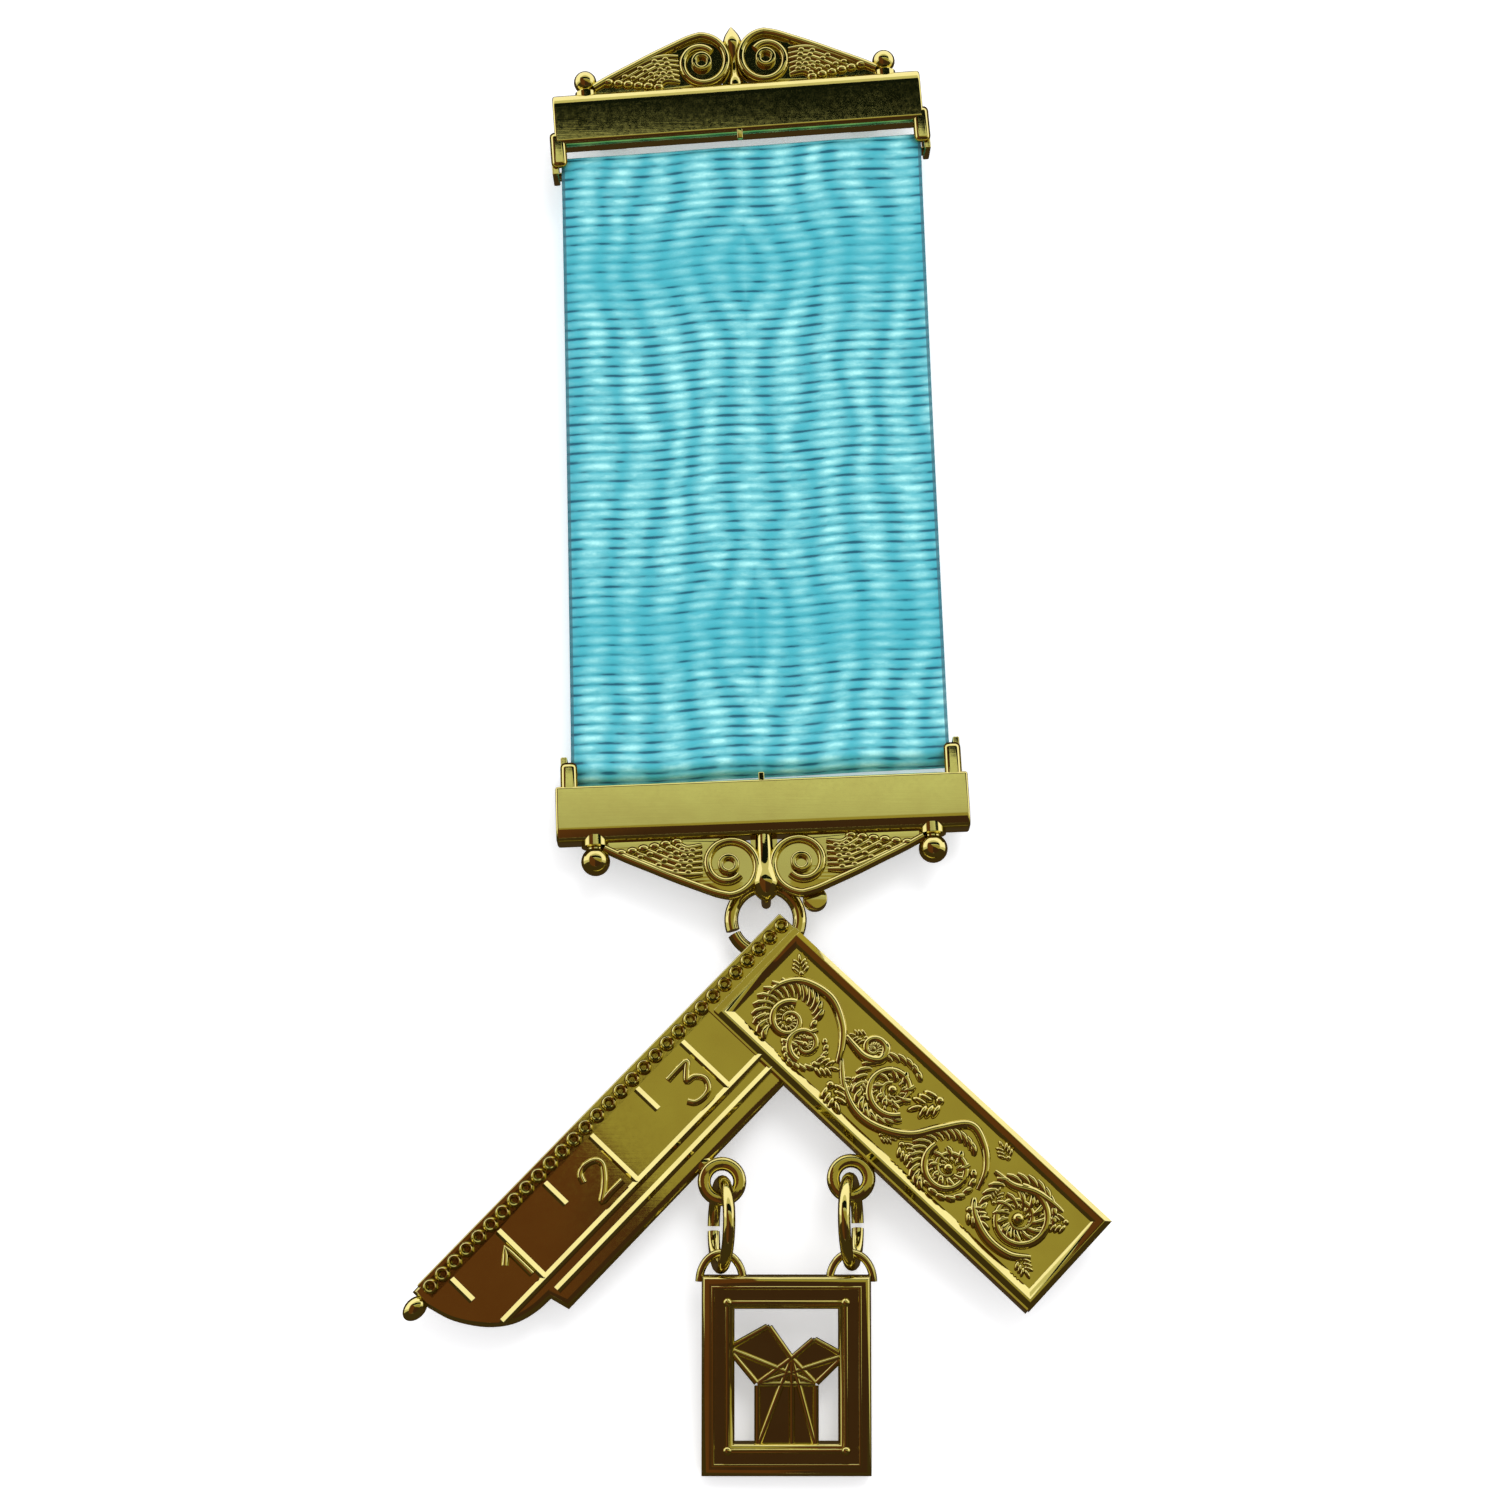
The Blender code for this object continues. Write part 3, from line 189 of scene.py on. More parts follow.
STEM_RADIUS = VINE_RADIUS * 1.05
SCROLL_STEPS = 56
SCROLL_BUD_LIFT = 0.12 * MM
SCROLL_BEAD = 0.27 * MM
SCROLL_BEAD_REACH = 0.46 * MM
SCROLL_BEAD_LIFT = 0.04 * MM
FAN_RIB = 0.28 * MM
FAN_LIFT = 0.04 * MM
FAN_TAPER = (0.6, 0.9, 1.1, 1.2, 0.85)
LEAF_BUD_LIFT = 0.05 * MM
EYELET_RADIUS = 1.95 * MM
EYELET_HOLE = 0.9 * MM
EYELET_DEPTH = 1.1 * MM
EYELET_ALONG = 19.0 * MM
EYELET_LAP = 0.15 * MM
EYELET_ROUNDING = 0.38 * MM
SOLDER_RADIUS = 0.75 * MM
SOLDER_HEIGHT = 0.9 * MM
SQUARE_STAPLE_AT = (2.0 * MM, 1.75 * MM, 0.0)
SQUARE_STAPLE_HEADING = math.radians(-70.0)

# Rings
RING_OUTER = 6.8 * MM
RING_WIRE = 1.15 * MM
JUMP_OUTER = 7.8 * MM
JUMP_WIRE = 1.0 * MM
JUMP_LEAN = math.radians(11.0)
RING_CUT = math.radians(7.0)
BIG_RING_CUT_AT = math.radians(202.0)

# Pendant
PENDANT_TILT = math.radians(10.1)
FRAME_WIDTH = 13.4 * MM
FRAME_HEIGHT = 15.6 * MM
FRAME_RAIL = 2.6 * MM
FRAME_DEPTH = 2.4 * MM
FRAME_ROUNDING = 0.6 * MM
CORNER_INSET = 2.05 * MM
CORNER_BALL = 0.36 * MM
CORNER_LIFT = 0.1 * MM
LOOP_SPREAD = 5.16 * MM
PENDANT_LOOP_RADIUS = 0.325 * MM
PENDANT_LOOP_WIDTH = 4.1 * MM
PENDANT_LOOP_SINK = 0.5 * MM
PENDANT_LOOP_PLAY = 0.4 * MM
FIGURE_HALF_DEPTH = 0.6 * MM
FIGURE_CHAMFER = 0.08 * MM
FIGURE_LINE_RADIUS = 0.25 * MM
FIGURE_LINE_GAP = 0.03

# Colours
GILT = (0.66, 0.58, 0.15, 1.0)
TARNISH = (0.52, 0.40, 0.10, 1.0)
SILK = (0.050, 0.480, 0.580, 1.0)
# Painted shade for the ribbon's rib grooves, and painted highlight for the rib crests
SILK_GROOVE_SHADE = (0.002, 0.120, 0.190, 1.0)
SILK_CREST_HIGHLIGHT = (0.480, 1.000, 1.000, 1.0)
SILK_EDGE = (0.060, 0.170, 0.210, 1.0)
PAPER = (0.93, 0.93, 0.945, 1.0)
WHITE = (1.0, 1.0, 1.0, 1.0)

# Surroundings, in millimetres: how far the walls stand and the cards reach, and the height they start at
FLOOR_HALF = 1200.0
WALL_RADIUS = 640.0
CARD_HALF = 600.0
UNDERSIDE = -200.0

# The crest's upper edge: share of half the bar's width, share of the crest's rise
CREST_EDGE = (
    (0.770, 0.120),
    (0.680, 0.280),
    (0.560, 0.470),
    (0.440, 0.660),
    (0.330, 0.820),
    (0.240, 0.945),
    (0.175, 1.000),
)

# Leaf fingers of the crest, at their root, bend and end: shares of half the bar's width and of the
# crest's rise for the lowest finger, and what the highest finger adds to each
FINGER_COURSE = (
    (0.300, 0.12, 0.000, 0.50),
    (0.375, 0.17, 0.070, 0.42),
    (0.420, 0.05, 0.270, 0.16),
)

# Stem under a crest's ball: radius and height as shares of the ball's radius
BALL_STEM = ((0.95, -0.40), (0.95, 0.30), (0.60, 0.42), (0.60, 0.60))

# Turned buds: share of the bud's rise, share of its widest radius
TOP_BUD = ((-0.10, 0.90), (0.08, 0.80), (0.22, 0.48), (0.42, 0.42), (0.56, 0.72), (0.70, 1.00),
           (0.83, 0.80), (0.94, 0.36), (1.00, 0.05))
LOWER_BUD = ((-0.10, 0.60), (0.20, 0.62), (0.45, 0.75), (0.64, 0.97), (0.76, 1.00), (0.90, 0.70),
             (0.97, 0.38), (1.00, 0.08))

# A bead of the rule's band: radius and height as shares of its widest radius
BEAD = ((1.04, -0.30), (1.03, 0.10), (0.97, 0.42), (0.85, 0.68), (0.70, 0.82), (0.56, 0.80), (0.45, 0.62),
        (0.37, 0.30), (0.30, 0.00))

# Strokes of the digits: right and up, as shares of half a digit's width and height
DIGIT_STROKES = {
    "3": ((-0.85, 1.00), (0.10, 1.02), (0.95, 0.98), (0.45, 0.60), (0.00, 0.22), (0.55, 0.12), (0.95, -0.35),
          (0.65, -0.88), (0.00, -1.02), (-0.65, -0.90), (-0.95, -0.55)),
    "2": ((-0.90, 0.40), (-0.65, 0.85), (0.00, 1.00), (0.70, 0.80), (0.85, 0.40), (0.35, -0.15),
          (-0.35, -0.65), (-0.95, -1.00), (0.00, -0.98), (1.00, -1.00)),
    "1": ((-0.85, 0.35), (-0.35, 0.70), (0.00, 1.00), (0.00, 0.50), (0.00, -0.40), (0.00, -1.00)),
}

# Curved end of the rule: share of the tip's length, share of its breadth
RULE_TIP = ((0.00, 1.00), (0.18, 0.99), (0.37, 0.95), (0.53, 0.88), (0.69, 0.76), (0.82, 0.61),
            (0.93, 0.43), (1.00, 0.21))

# Raised lines along the rule's inner side: across it, short of its end, below its face
MOULDINGS = (
    (RULE_LINE + 0.05 * MM, 3.3 * MM, 0.0),
    (RULE_STEP_LINE + 0.05 * MM, 8.0 * MM, 0.12 * MM),
)

# Inner side of the panel's border: inset and drop below its face, then inset and height over the field
BORDER_CREST = ((0.54 * MM, 0.0), (0.60 * MM, 0.03 * MM))
BORDER_FOOT = ((1.18 * MM, 0.02 * MM), (1.24 * MM, -0.05 * MM))

# Scrolls of the panel: along as a share of its length, across and radius as shares of its breadth,
# start in degrees, turns
PANEL_SCROLLS = (
    (0.141, 0.620, 0.165, 200, 1.30),
    (0.207, 0.674, 0.150, 20, -1.30),
    (0.330, 0.300, 0.105, 90, 1.20),
    (0.428, 0.451, 0.225, 60, -1.55),
    (0.645, 0.610, 0.215, 250, 1.55),
    (0.840, 0.520, 0.270, 215, -1.65),
)

# Stems of the panel, point by point: along, across
PANEL_STEMS = (
    ((0.085, 0.745), (0.065, 0.560), (0.075, 0.400), (0.110, 0.280), (0.175, 0.235), (0.235, 0.330),
     (0.270, 0.460), (0.292, 0.600)),
    ((0.262, 0.380), (0.290, 0.400), (0.330, 0.405), (0.360, 0.330), (0.350, 0.215), (0.320, 0.210)),
    ((0.292, 0.550), (0.335, 0.690), (0.385, 0.780), (0.435, 0.790), (0.490, 0.720), (0.535, 0.600),
     (0.570, 0.410), (0.615, 0.215), (0.670, 0.265), (0.710, 0.400), (0.728, 0.570)),
    ((0.728, 0.360), (0.780, 0.345), (0.825, 0.265), (0.865, 0.235), (0.905, 0.225)),
    ((0.735, 0.640), (0.765, 0.745), (0.820, 0.815), (0.880, 0.790), (0.920, 0.680)),
)

# Fans of leaf ribs: along, across, inner and outer radius as shares of the breadth, first and last
# heading in degrees, ribs
PANEL_FANS = (
    (0.141, 0.600, 0.185, 0.350, 130, 330, 15),
    (0.141, 0.600, 0.180, 0.260, 20, 110, 6),
    (0.207, 0.674, 0.165, 0.215, -60, 130, 12),
    (0.428, 0.451, 0.070, 0.190, 0, 330, 9),
    (0.428, 0.451, 0.240, 0.330, 150, 400, 18),
    (0.645, 0.610, 0.070, 0.180, 0, 330, 9),
    (0.645, 0.610, 0.235, 0.360, 160, 330, 15),
    (0.645, 0.610, 0.230, 0.262, -20, 110, 8),
    (0.840, 0.520, 0.080, 0.230, 0, 340, 13),
    (0.840, 0.520, 0.285, 0.370, 120, 300, 14),
)

# Buds and leaves of the panel: along, across, length as a share of the breadth, heading in degrees
PANEL_LEAVES = (
    (0.085, 0.255, 0.16, 230),
    (0.080, 0.800, 0.15, 130),
    (0.315, 0.775, 0.24, 60),
    (0.345, 0.605, 0.15, 0),
    (0.525, 0.245, 0.26, 330),
    (0.480, 0.790, 0.13, 115),
    (0.530, 0.730, 0.19, 75),
    (0.730, 0.205, 0.15, 250),
    (0.745, 0.740, 0.21, 88),
    (0.925, 0.270, 0.18, 320),
    (0.905, 0.755, 0.16, 70),
    (0.255, 0.740, 0.20, 120),
    (0.390, 0.640, 0.16, 200),
    (0.600, 0.790, 0.13, 85),
    (0.300, 0.280, 0.14, 300),
    (0.775, 0.560, 0.14, 200),
)

# Corners of the pendant's figure, as shares of half the window
FIGURE = {
    "base_left": (-0.56, -0.12),
    "base_right": (0.56, -0.12),
    "apex": (0.10, 0.26),
    "left_far": (-1.12, 0.41),
    "left_near": (-0.34, 0.75),
    "right_near": (0.53, 0.55),
    "right_far": (1.11, 0.30),
    "foot_left": (-0.56, -1.07),
    "foot_right": (0.56, -1.07),
}
FIGURE_OUTLINE = ("foot_left", "foot_right", "base_right", "right_far", "right_near", "apex",
                  "left_near", "left_far", "base_left")
FIGURE_LINES = (("base_right", "left_far"), ("base_left", "right_far"), ("apex", "foot_left"),
                ("apex", "foot_right"), ("base_left", "base_right"), ("base_left", "apex"),
                ("apex", "base_right"))

# Beads round the pendant's frame: inset, breadth, rise
FRAME_BEADS = ((1.85 * MM, 0.4 * MM, 0.25 * MM), (0.75 * MM, 0.3 * MM, 0.05 * MM))


# Meshes

def as_mesh(obj):
    """The evaluated shape of a curve or of an object with modifiers, with its seams closed."""
    bpy.context.scene.collection.objects.link(obj)
    graph = bpy.context.evaluated_depsgraph_get()
    graph.update()
    mesh = bpy.data.meshes.new_from_object(obj.evaluated_get(graph))
    bpy.data.objects.remove(obj)
    shape = bmesh.new()
    shape.from_mesh(mesh)
    bmesh.ops.remove_doubles(shape, verts=shape.verts, dist=0.002 * MM)
    bmesh.ops.recalc_face_normals(shape, faces=shape.faces)
    shape.to_mesh(mesh)
    shape.free()
    return mesh


def from_bmesh(shape):
    mesh = bpy.data.meshes.new("shape")
    shape.to_mesh(mesh)
    shape.free()
    return mesh


def moved(mesh, matrix):
    mesh.transform(matrix)
    return mesh


def joined(meshes):
    shape = bmesh.new()
    for mesh in meshes:
        shape.from_mesh(mesh)
    return from_bmesh(shape)


def box(size, centre, rounding=0.0, segments=3):
    shape = bmesh.new()
    bmesh.ops.create_cube(shape, size=1.0)
    bmesh.ops.scale(shape, vec=size, verts=shape.verts)
    if rounding > 0.0:
        bmesh.ops.bevel(shape, geom=shape.edges[:], offset=rounding, segments=segments,
                        affect="EDGES", profile=0.5)
    bmesh.ops.translate(shape, vec=centre, verts=shape.verts)
    return from_bmesh(shape)


def ball(radius, centre, stretch=(1.0, 1.0, 1.0), turn=0.0, around=24, along=16):
    shape = bmesh.new()
    bmesh.ops.create_uvsphere(shape, u_segments=around, v_segments=along, radius=radius)
    bmesh.ops.scale(shape, vec=stretch, verts=shape.verts)
    return moved(from_bmesh(shape), Matrix.Translation(centre) @ Matrix.Rotation(turn, 4, "Z"))


def slab(outlines, back, front, chamfer=0.0, steps=2):
    """A flat plate from back to front. The first outline is its edge and the others are holes."""
    curve = bpy.data.curves.new("outline", "CURVE")
    curve.dimensions = "2D"
    curve.fill_mode = "BOTH"
    curve.extrude = (front - back) / 2 - chamfer
    curve.bevel_depth = chamfer
    curve.bevel_resolution = steps
    curve.offset = -chamfer
    for outline in outlines:
        spline = curve.splines.new("POLY")
        spline.points.add(len(outline) - 1)
        for point, place in zip(spline.points, outline):
            point.co = (place[0], place[1], 0.0, 1.0)
        spline.use_cyclic_u = True
    mesh = as_mesh(bpy.data.objects.new("outline", curve))
    return moved(mesh, Matrix.Translation((0.0, 0.0, (front + back) / 2)))


def rail(places, radius, taper=None, sides=12):
    """A round bar along the places, with closed ends. Taper holds one share of the radius a place."""
    curve = bpy.data.curves.new("rail", "CURVE")
    curve.dimensions = "3D"
    curve.bevel_depth = radius
    curve.bevel_resolution = (sides - 4) // 2
    curve.use_fill_caps = True
    spline = curve.splines.new("POLY")
    spline.points.add(len(places) - 1)
    for index, place in enumerate(places):
        spline.points[index].co = (place[0], place[1], place[2], 1.0)
        spline.points[index].radius = taper[index] if taper else 1.0
    return as_mesh(bpy.data.objects.new("rail", curve))


def turned(profile, matrix, sides=24):
    """A solid turned round Z from (radius, height) pairs, lowest first."""
    mesh = bpy.data.meshes.new("profile")
    places = [(0.0, 0.0, profile[0][1])]
    places += [(radius, 0.0, height) for radius, height in profile]
    places += [(0.0, 0.0, profile[-1][1])]
    mesh.from_pydata(places, [(i, i + 1) for i in range(len(places) - 1)], [])
    obj = bpy.data.objects.new("profile", mesh)
    screw = obj.modifiers.new("turn", "SCREW")
    screw.steps = sides
    screw.render_steps = sides
    screw.use_merge_vertices = True
    screw.merge_threshold = 0.001 * MM
    return moved(as_mesh(obj), matrix)


# Paths

def arc(centre, radius, start, end, steps):
    points = []
    for step in range(steps + 1):
        angle = start + (end - start) * step / steps
        points.append((centre[0] + radius * math.cos(angle), centre[1] + radius * math.sin(angle)))
    return points


def circle(centre, radius, steps):
    return arc(centre, radius, 0.0, 2 * math.pi * (1 - 1 / steps), steps - 1)


def spiral(centre, outer, inner, start, turns, steps):
    points = []
    for step in range(steps + 1):
        share = step / steps
        angle = start + turns * 2 * math.pi * share
        radius = outer + (inner - outer) * share
        points.append((centre[0] + radius * math.cos(angle), centre[1] + radius * math.sin(angle)))
    return points


def smooth(points, steps):
    """A smooth run through points (Catmull-Rom)."""
    padded = [points[0]] + list(points) + [points[-1]]
    run = []
    for i in range(len(points) - 1):
        a, b, c, d = (Vector(p) for p in padded[i:i + 4])
        for step in range(steps):
            t = step / steps
            place = 0.5 * (2 * b + (c - a) * t + (2 * a - 5 * b + 4 * c - d) * t ** 2
                           + (3 * b - a - 3 * c + d) * t ** 3)
            run.append(tuple(place))
    run.append(tuple(points[-1]))
    return run


def lifted(points, height):
    return [(p[0], p[1], height) for p in points]


def mirrored(points):
    return [(-p[0],) + tuple(p[1:]) for p in points]


def sided(points, side):
    """The points as they are for side 1, and mirrored for side -1."""
    return points if side > 0 else mirrored(points)


def rectangle(x0, y0, x1, y1):
    return [(x0, y0), (x1, y0), (x1, y1), (x0, y1)]


def centred(half_width, half_height):
    return rectangle(-half_width, -half_height, half_width, half_height)


def lengthwise():
    """Lays a section along X: its own X becomes Y and its own Y becomes Z."""
    return Matrix.Rotation(math.pi / 2, 4, "Z") @ Matrix.Rotation(math.pi / 2, 4, "X")


# Bars

def crest(bar, bud_profile):
    """The scrolled crest, standing on the line y=0 in the bar's middle plane."""
    half, rise = bar["width"] / 2, bar["rise"]
    back, root = -BAR_DEPTH / 2, -CREST_ROOT
    edge = smooth([(x * half, y * rise) for x, y in CREST_EDGE], 8)
    centre = (VOLUTE_AT[0] * half, VOLUTE_AT[1] * rise)
    top_radius = rise - centre[1]
    scroll = spiral(centre, top_radius, EYE_RADIUS + RIM_RADIUS, math.pi / 2, 1.12, 60)
    plate_round = spiral(centre, top_radius, VOLUTE_RADIUS, math.pi / 2, 0.5, 24)
    plate = [(edge[0][0], root)] + edge[:-1] + plate_round + [(plate_round[-1][0] * 0.4, root)]
    shapes = []
    for side in (1, -1):
        shapes.append(slab([sided(plate, side)], back, PLATE_FRONT, PLATE_CHAMFER))
        rim = sided(edge[:-1] + scroll, side)
        shapes.append(rail(lifted(rim, PLATE_FRONT + RIM_LIFT), RIM_RADIUS))
        eye = (side * centre[0], centre[1])
        rings = [circle(eye, EYE_RADIUS, 32), circle(eye, PIT_RADIUS, 24)]
        shapes.append(slab(rings, 0.0, PLATE_FRONT + EYE_RISE, EYE_CHAMFER))
        shapes += crest_leaf(side, half, rise)
        shapes += crest_ball(bar["ball"], side * BALL_ALONG * half)
    bud = [(bar["bud_radius"] * r, bar["bud_rise"] * h) for h, r in smooth(list(bud_profile), 4)]
    shapes.append(turned(bud, Matrix.Rotation(math.radians(-90), 4, "X")))
    web = max(VOLUTE_RADIUS * 0.5, bar["bud_radius"] * 0.9)
    shapes.append(slab([rectangle(-web, root, web, rise * 0.72)], back + WEB_INSET, WEB_FRONT))
    return shapes


def crest_ball(radius, along):
    """A ball on the short turned stem that it stands on."""
    upright = Matrix.Translation((along, 0.0, 0.0)) @ Matrix.Rotation(math.radians(-90), 4, "X")
    stem = turned([(radius * r, radius * h) for r, h in BALL_STEM], upright)
    return [stem, ball(radius, (along, radius * 1.3, 0.0))]


def crest_leaf(side, half, rise):
    """Leaf fingers that sweep from the volute down to the bar, with lobed tips and beads between them."""
    shapes = []
    for index in range(FINGERS):
        share = index / (FINGERS - 1)
        course = [((x + share * dx) * half, (y + share * dy) * rise) for x, y, dx, dy in FINGER_COURSE]
        path = sided(smooth(course, 8), side)
        taper = [0.55 + 0.45 * math.sin(math.pi * i / (len(path) - 1)) for i in range(len(path))]
        height = PLATE_FRONT + FINGER_LIFT + FINGER_STEP * (index % 2)
        shapes.append(rail(lifted(path, height), FINGER_RADIUS, taper))
        tip = (path[-1][0], path[-1][1], height)
        shapes.append(ball(FINGER_TIP, tip, (1.2, 0.9, 0.9), 0.0, 12, 8))
        if index == FINGERS - 1:
            break
        for spot in FINGER_BEAD_SPOTS:
            place = (path[spot][0], path[spot][1] + 0.045 * rise, height + FINGER_BEAD_LIFT)
            shapes.append(ball(FINGER_BEAD, place, (1.2, 0.8, 1.0), 0.0, 10, 8))
    return shapes


def hanger(bar):
    """Two arms and the rod, below the bar in its own frame, and the short tick between them."""
    height = bar["height"]
    rod_y = -(height / 2 + bar["space"] + LOOP_HALF)
    inner = RIBBON_WIDTH / 2 + CLOTH_GAP * 0.8
    outer = inner + CHEEK_WIDTH
    front = BAR_DEPTH / 2 - STRAP_SETBACK
    strap_back = -ROD_SETBACK + LOOP_HALF + CLOTH_GAP
    cheek_back = -ROD_SETBACK - CHEEK_OVERHANG
    cheek_front = strap_back + CHEEK_LAP
    slant = math.tan(bar["skew"])
    top = -height * 0.25
    shapes = []
    for side in (1, -1):
        rod_end = rod_y + side * inner * slant
        strap_x = side * (outer - ARM_WIDTH / 2)
        shapes.append(box((ARM_WIDTH, top - rod_end, front - strap_back),
                          (strap_x, (top + rod_end) / 2, (front + strap_back) / 2), STRAP_ROUNDING, 5))
        cheek_end = rod_end - CHEEK_OVERHANG
        shapes.append(box((CHEEK_WIDTH - CHEEK_PLAY, top - cheek_end, cheek_front - cheek_back),
                          (side * (inner + CHEEK_WIDTH / 2), (top + cheek_end) / 2,
                           (cheek_front + cheek_back) / 2), CHEEK_ROUNDING))
    reach = inner + CHEEK_WIDTH / 2
    shapes.append(rail([(-reach, rod_y - reach * slant, -ROD_SETBACK),
                        (reach, rod_y + reach * slant, -ROD_SETBACK)], ROD_RADIUS))
    tick_y = -(height / 2 + TICK_DROP / 2 - height * 0.1)
    shapes.append(box((TICK_WIDTH, TICK_DROP + height * 0.2, front - strap_back),
                      (0.0, tick_y, (front + strap_back) / 2), TICK_ROUNDING))
    return shapes


def staple(foot):
    """A wire staple: straight legs down from a back face and a round-cornered foot, legs along X."""
    corner = STAPLE_SPREAD * 0.55
    path = [(-STAPLE_SPREAD, 0.0, STAPLE_SINK)]
    for side, start in ((-1, math.pi), (1, 1.5 * math.pi)):
        centre = (side * (STAPLE_SPREAD - corner), corner - STAPLE_DROP)
        path += [(x, 0.0, z) for x, z in arc(centre, corner, start, start + math.pi / 2, 8)]
    path.append((STAPLE_SPREAD, 0.0, STAPLE_SINK))
    return moved(rail(path, STAPLE_WIRE / 2), foot)


def bar_turn(bar):
    return Matrix.Rotation(bar["turn"], 4, "Z") @ Matrix.Rotation(bar["tilt"], 4, "X")


def bar_body(bar):
    """A bar whose two long front edges are rolled over; a roll is its breadth and its drop."""
    half, front, back = bar["height"] / 2, BAR_DEPTH / 2, -BAR_DEPTH / 2
    section = []
    for side, (breadth, drop) in ((-1, bar["lower_roll"]), (1, bar["upper_roll"])):
        turns = [math.pi / 2 * step / ROLL_STEPS for step in range(ROLL_STEPS + 1)]
        section += [(side * (half - breadth * (1 - math.sin(turn))), front - drop * (1 - math.cos(turn)))
                    for turn in turns[::side]]
    corner = [(half - BACK_INSET, back + BACK_CHAMFER), (half - BACK_INSET - BACK_CHAMFER, back)]
    section += corner + mirrored(corner)[::-1]
    body = slab([section], -bar["width"] / 2, bar["width"] / 2, BAR_ROUNDING, 4)
    return moved(body, lengthwise())


def top_bar():
    bar = TOP_BAR
    upright = Matrix.Translation((0.0, bar["height"] / 2, 0.0))
    shapes = [bar_body(bar)]
    shapes += [moved(shape, upright) for shape in crest(bar, TOP_BUD)]
    shapes += hanger(bar)
    level = Matrix.Rotation(-bar["tilt"], 4, "X")
    lift = BAR_DEPTH / 2 * math.cos(bar["tilt"]) + TOP_BAR_LIFT
    for side in (1, -1):
        place = (side * FITTING_SPREAD, FITTING_OFFSET, FITTING_SIZE[2] / 2 - lift)
        shapes.append(moved(box(FITTING_SIZE, place, FITTING_ROUNDING), level))
    return joined(shapes), bar_turn(bar)


def lower_bar():
    bar = LOWER_BAR
    half_turn = Matrix.Rotation(math.pi, 4, "Z")
    inverted = half_turn @ Matrix.Translation((0.0, bar["height"] / 2, 0.0))
    shapes = [bar_body(bar)]
    shapes += [moved(shape, inverted) for shape in crest(bar, LOWER_BUD)]
    shapes += [moved(shape, half_turn) for shape in hanger(bar)]
    foot = Matrix.Translation((0.0, -(bar["height"] / 2 + STAPLE_OFFSET), -BAR_DEPTH / 2))
    shapes.append(staple(foot @ Matrix.Rotation(math.pi / 2, 4, "Z")))
    lug_y = -(bar["height"] / 2 + bar["rise"] + LUG_RADIUS * 0.3)
    lug_at = (VOLUTE_AT[0] * bar["width"] / 2 + LUG_RADIUS, lug_y)
    shapes.append(slab([circle(lug_at, LUG_RADIUS, 32)], LUG_BACK, LUG_FRONT, LUG_CHAMFER))
    return joined(shapes), bar_turn(bar)


# Square

def rule_tip(breadth, inset=0.0):
    """The rule's curved end, from a breadth down to its outer edge, drawn in by an inset."""
    start = RULE_LENGTH - RULE_TIP_LENGTH
    places = [(start + x * RULE_TIP_LENGTH - inset, y * RULE_TIP_BREADTH - inset)
              for x, y in RULE_TIP if y * RULE_TIP_BREADTH <= breadth]
    return smooth(places, 4)[::-1]


def rule_outline():
    step = RULE_LENGTH - RULE_TIP_LENGTH - RULE_STEP
    outline = [(0.0, 0.0), (RULE_LENGTH, 0.0)]
    outline += rule_tip(RULE_TIP_BREADTH)
    outline += [(step, ARM_BREADTH), (0.0, ARM_BREADTH)]
    return outline


def square():
    shapes = [slab([rule_outline()], 0.0, RULE_BASE, RULE_ROUNDING, 5)]
    shapes.append(rule_field())
    shapes += rule_mouldings()
    shapes += bead_band()
    shapes += rule_marks()
    shapes += panel()
    shapes += eyelets()
    knob = (RULE_LENGTH + KNOB_RADIUS * 0.75, KNOB_RADIUS * 1.1, SQUARE_DEPTH / 2)
    shapes.append(ball(KNOB_RADIUS, knob, (1.15, 0.8, 0.9)))
    heading = Matrix.Rotation(SQUARE_STAPLE_HEADING - SQUARE_TURN, 4, "Z")
    shapes.append(staple(Matrix.Translation(SQUARE_STAPLE_AT) @ heading))
    turn = Matrix.Rotation(-SQUARE_SLOPE, 4, "X") @ Matrix.Rotation(SQUARE_TURN, 4, "Z")
    return joined(shapes), turn


def eyelets():
    """An eyelet on the inner side of each arm, with its solder."""
    across = ARM_BREADTH + EYELET_RADIUS - EYELET_LAP
    low = (SQUARE_DEPTH - EYELET_DEPTH) / 2
    shapes = []
    for x, y in ((EYELET_ALONG, across), (across, EYELET_ALONG)):
        rings = [circle((x, y), EYELET_RADIUS, 40), circle((x, y), EYELET_HOLE, 32)]
        shapes.append(slab(rings, low, low + EYELET_DEPTH, EYELET_ROUNDING, 4))
        foot = (x, y - EYELET_RADIUS) if x > y else (x - EYELET_RADIUS, y)
        shapes.append(ball(SOLDER_RADIUS, (foot[0], foot[1], SOLDER_HEIGHT), (1.0, 1.0, 0.5)))
    return shapes


def rule_field():
    """The raised face between the bead band and the first moulding."""
    inner = RULE_LINE - FIELD_LIP
    outline = [(FIELD_EDGE, FIELD_EDGE), (RULE_LENGTH - FIELD_END, FIELD_EDGE)]
    outline += rule_tip(RULE_LINE, FIELD_TIP_INSET)
    outline += [(RULE_LENGTH - FIELD_CUT, inner), (FIELD_EDGE, inner)]
    return slab([outline], SQUARE_DEPTH * 0.3, RULE_FACE, FIELD_CHAMFER)


def ridge():
    """The section of a raised line: a long slope towards its lower side and a shorter one behind it."""
    half = LINE_BREADTH / 2
    foot = -SQUARE_DEPTH * 0.3
    return [(-half, foot), (-half, 0.0), (LINE_CREST * half, LINE_RISE), (half, 0.0), (half, foot)]


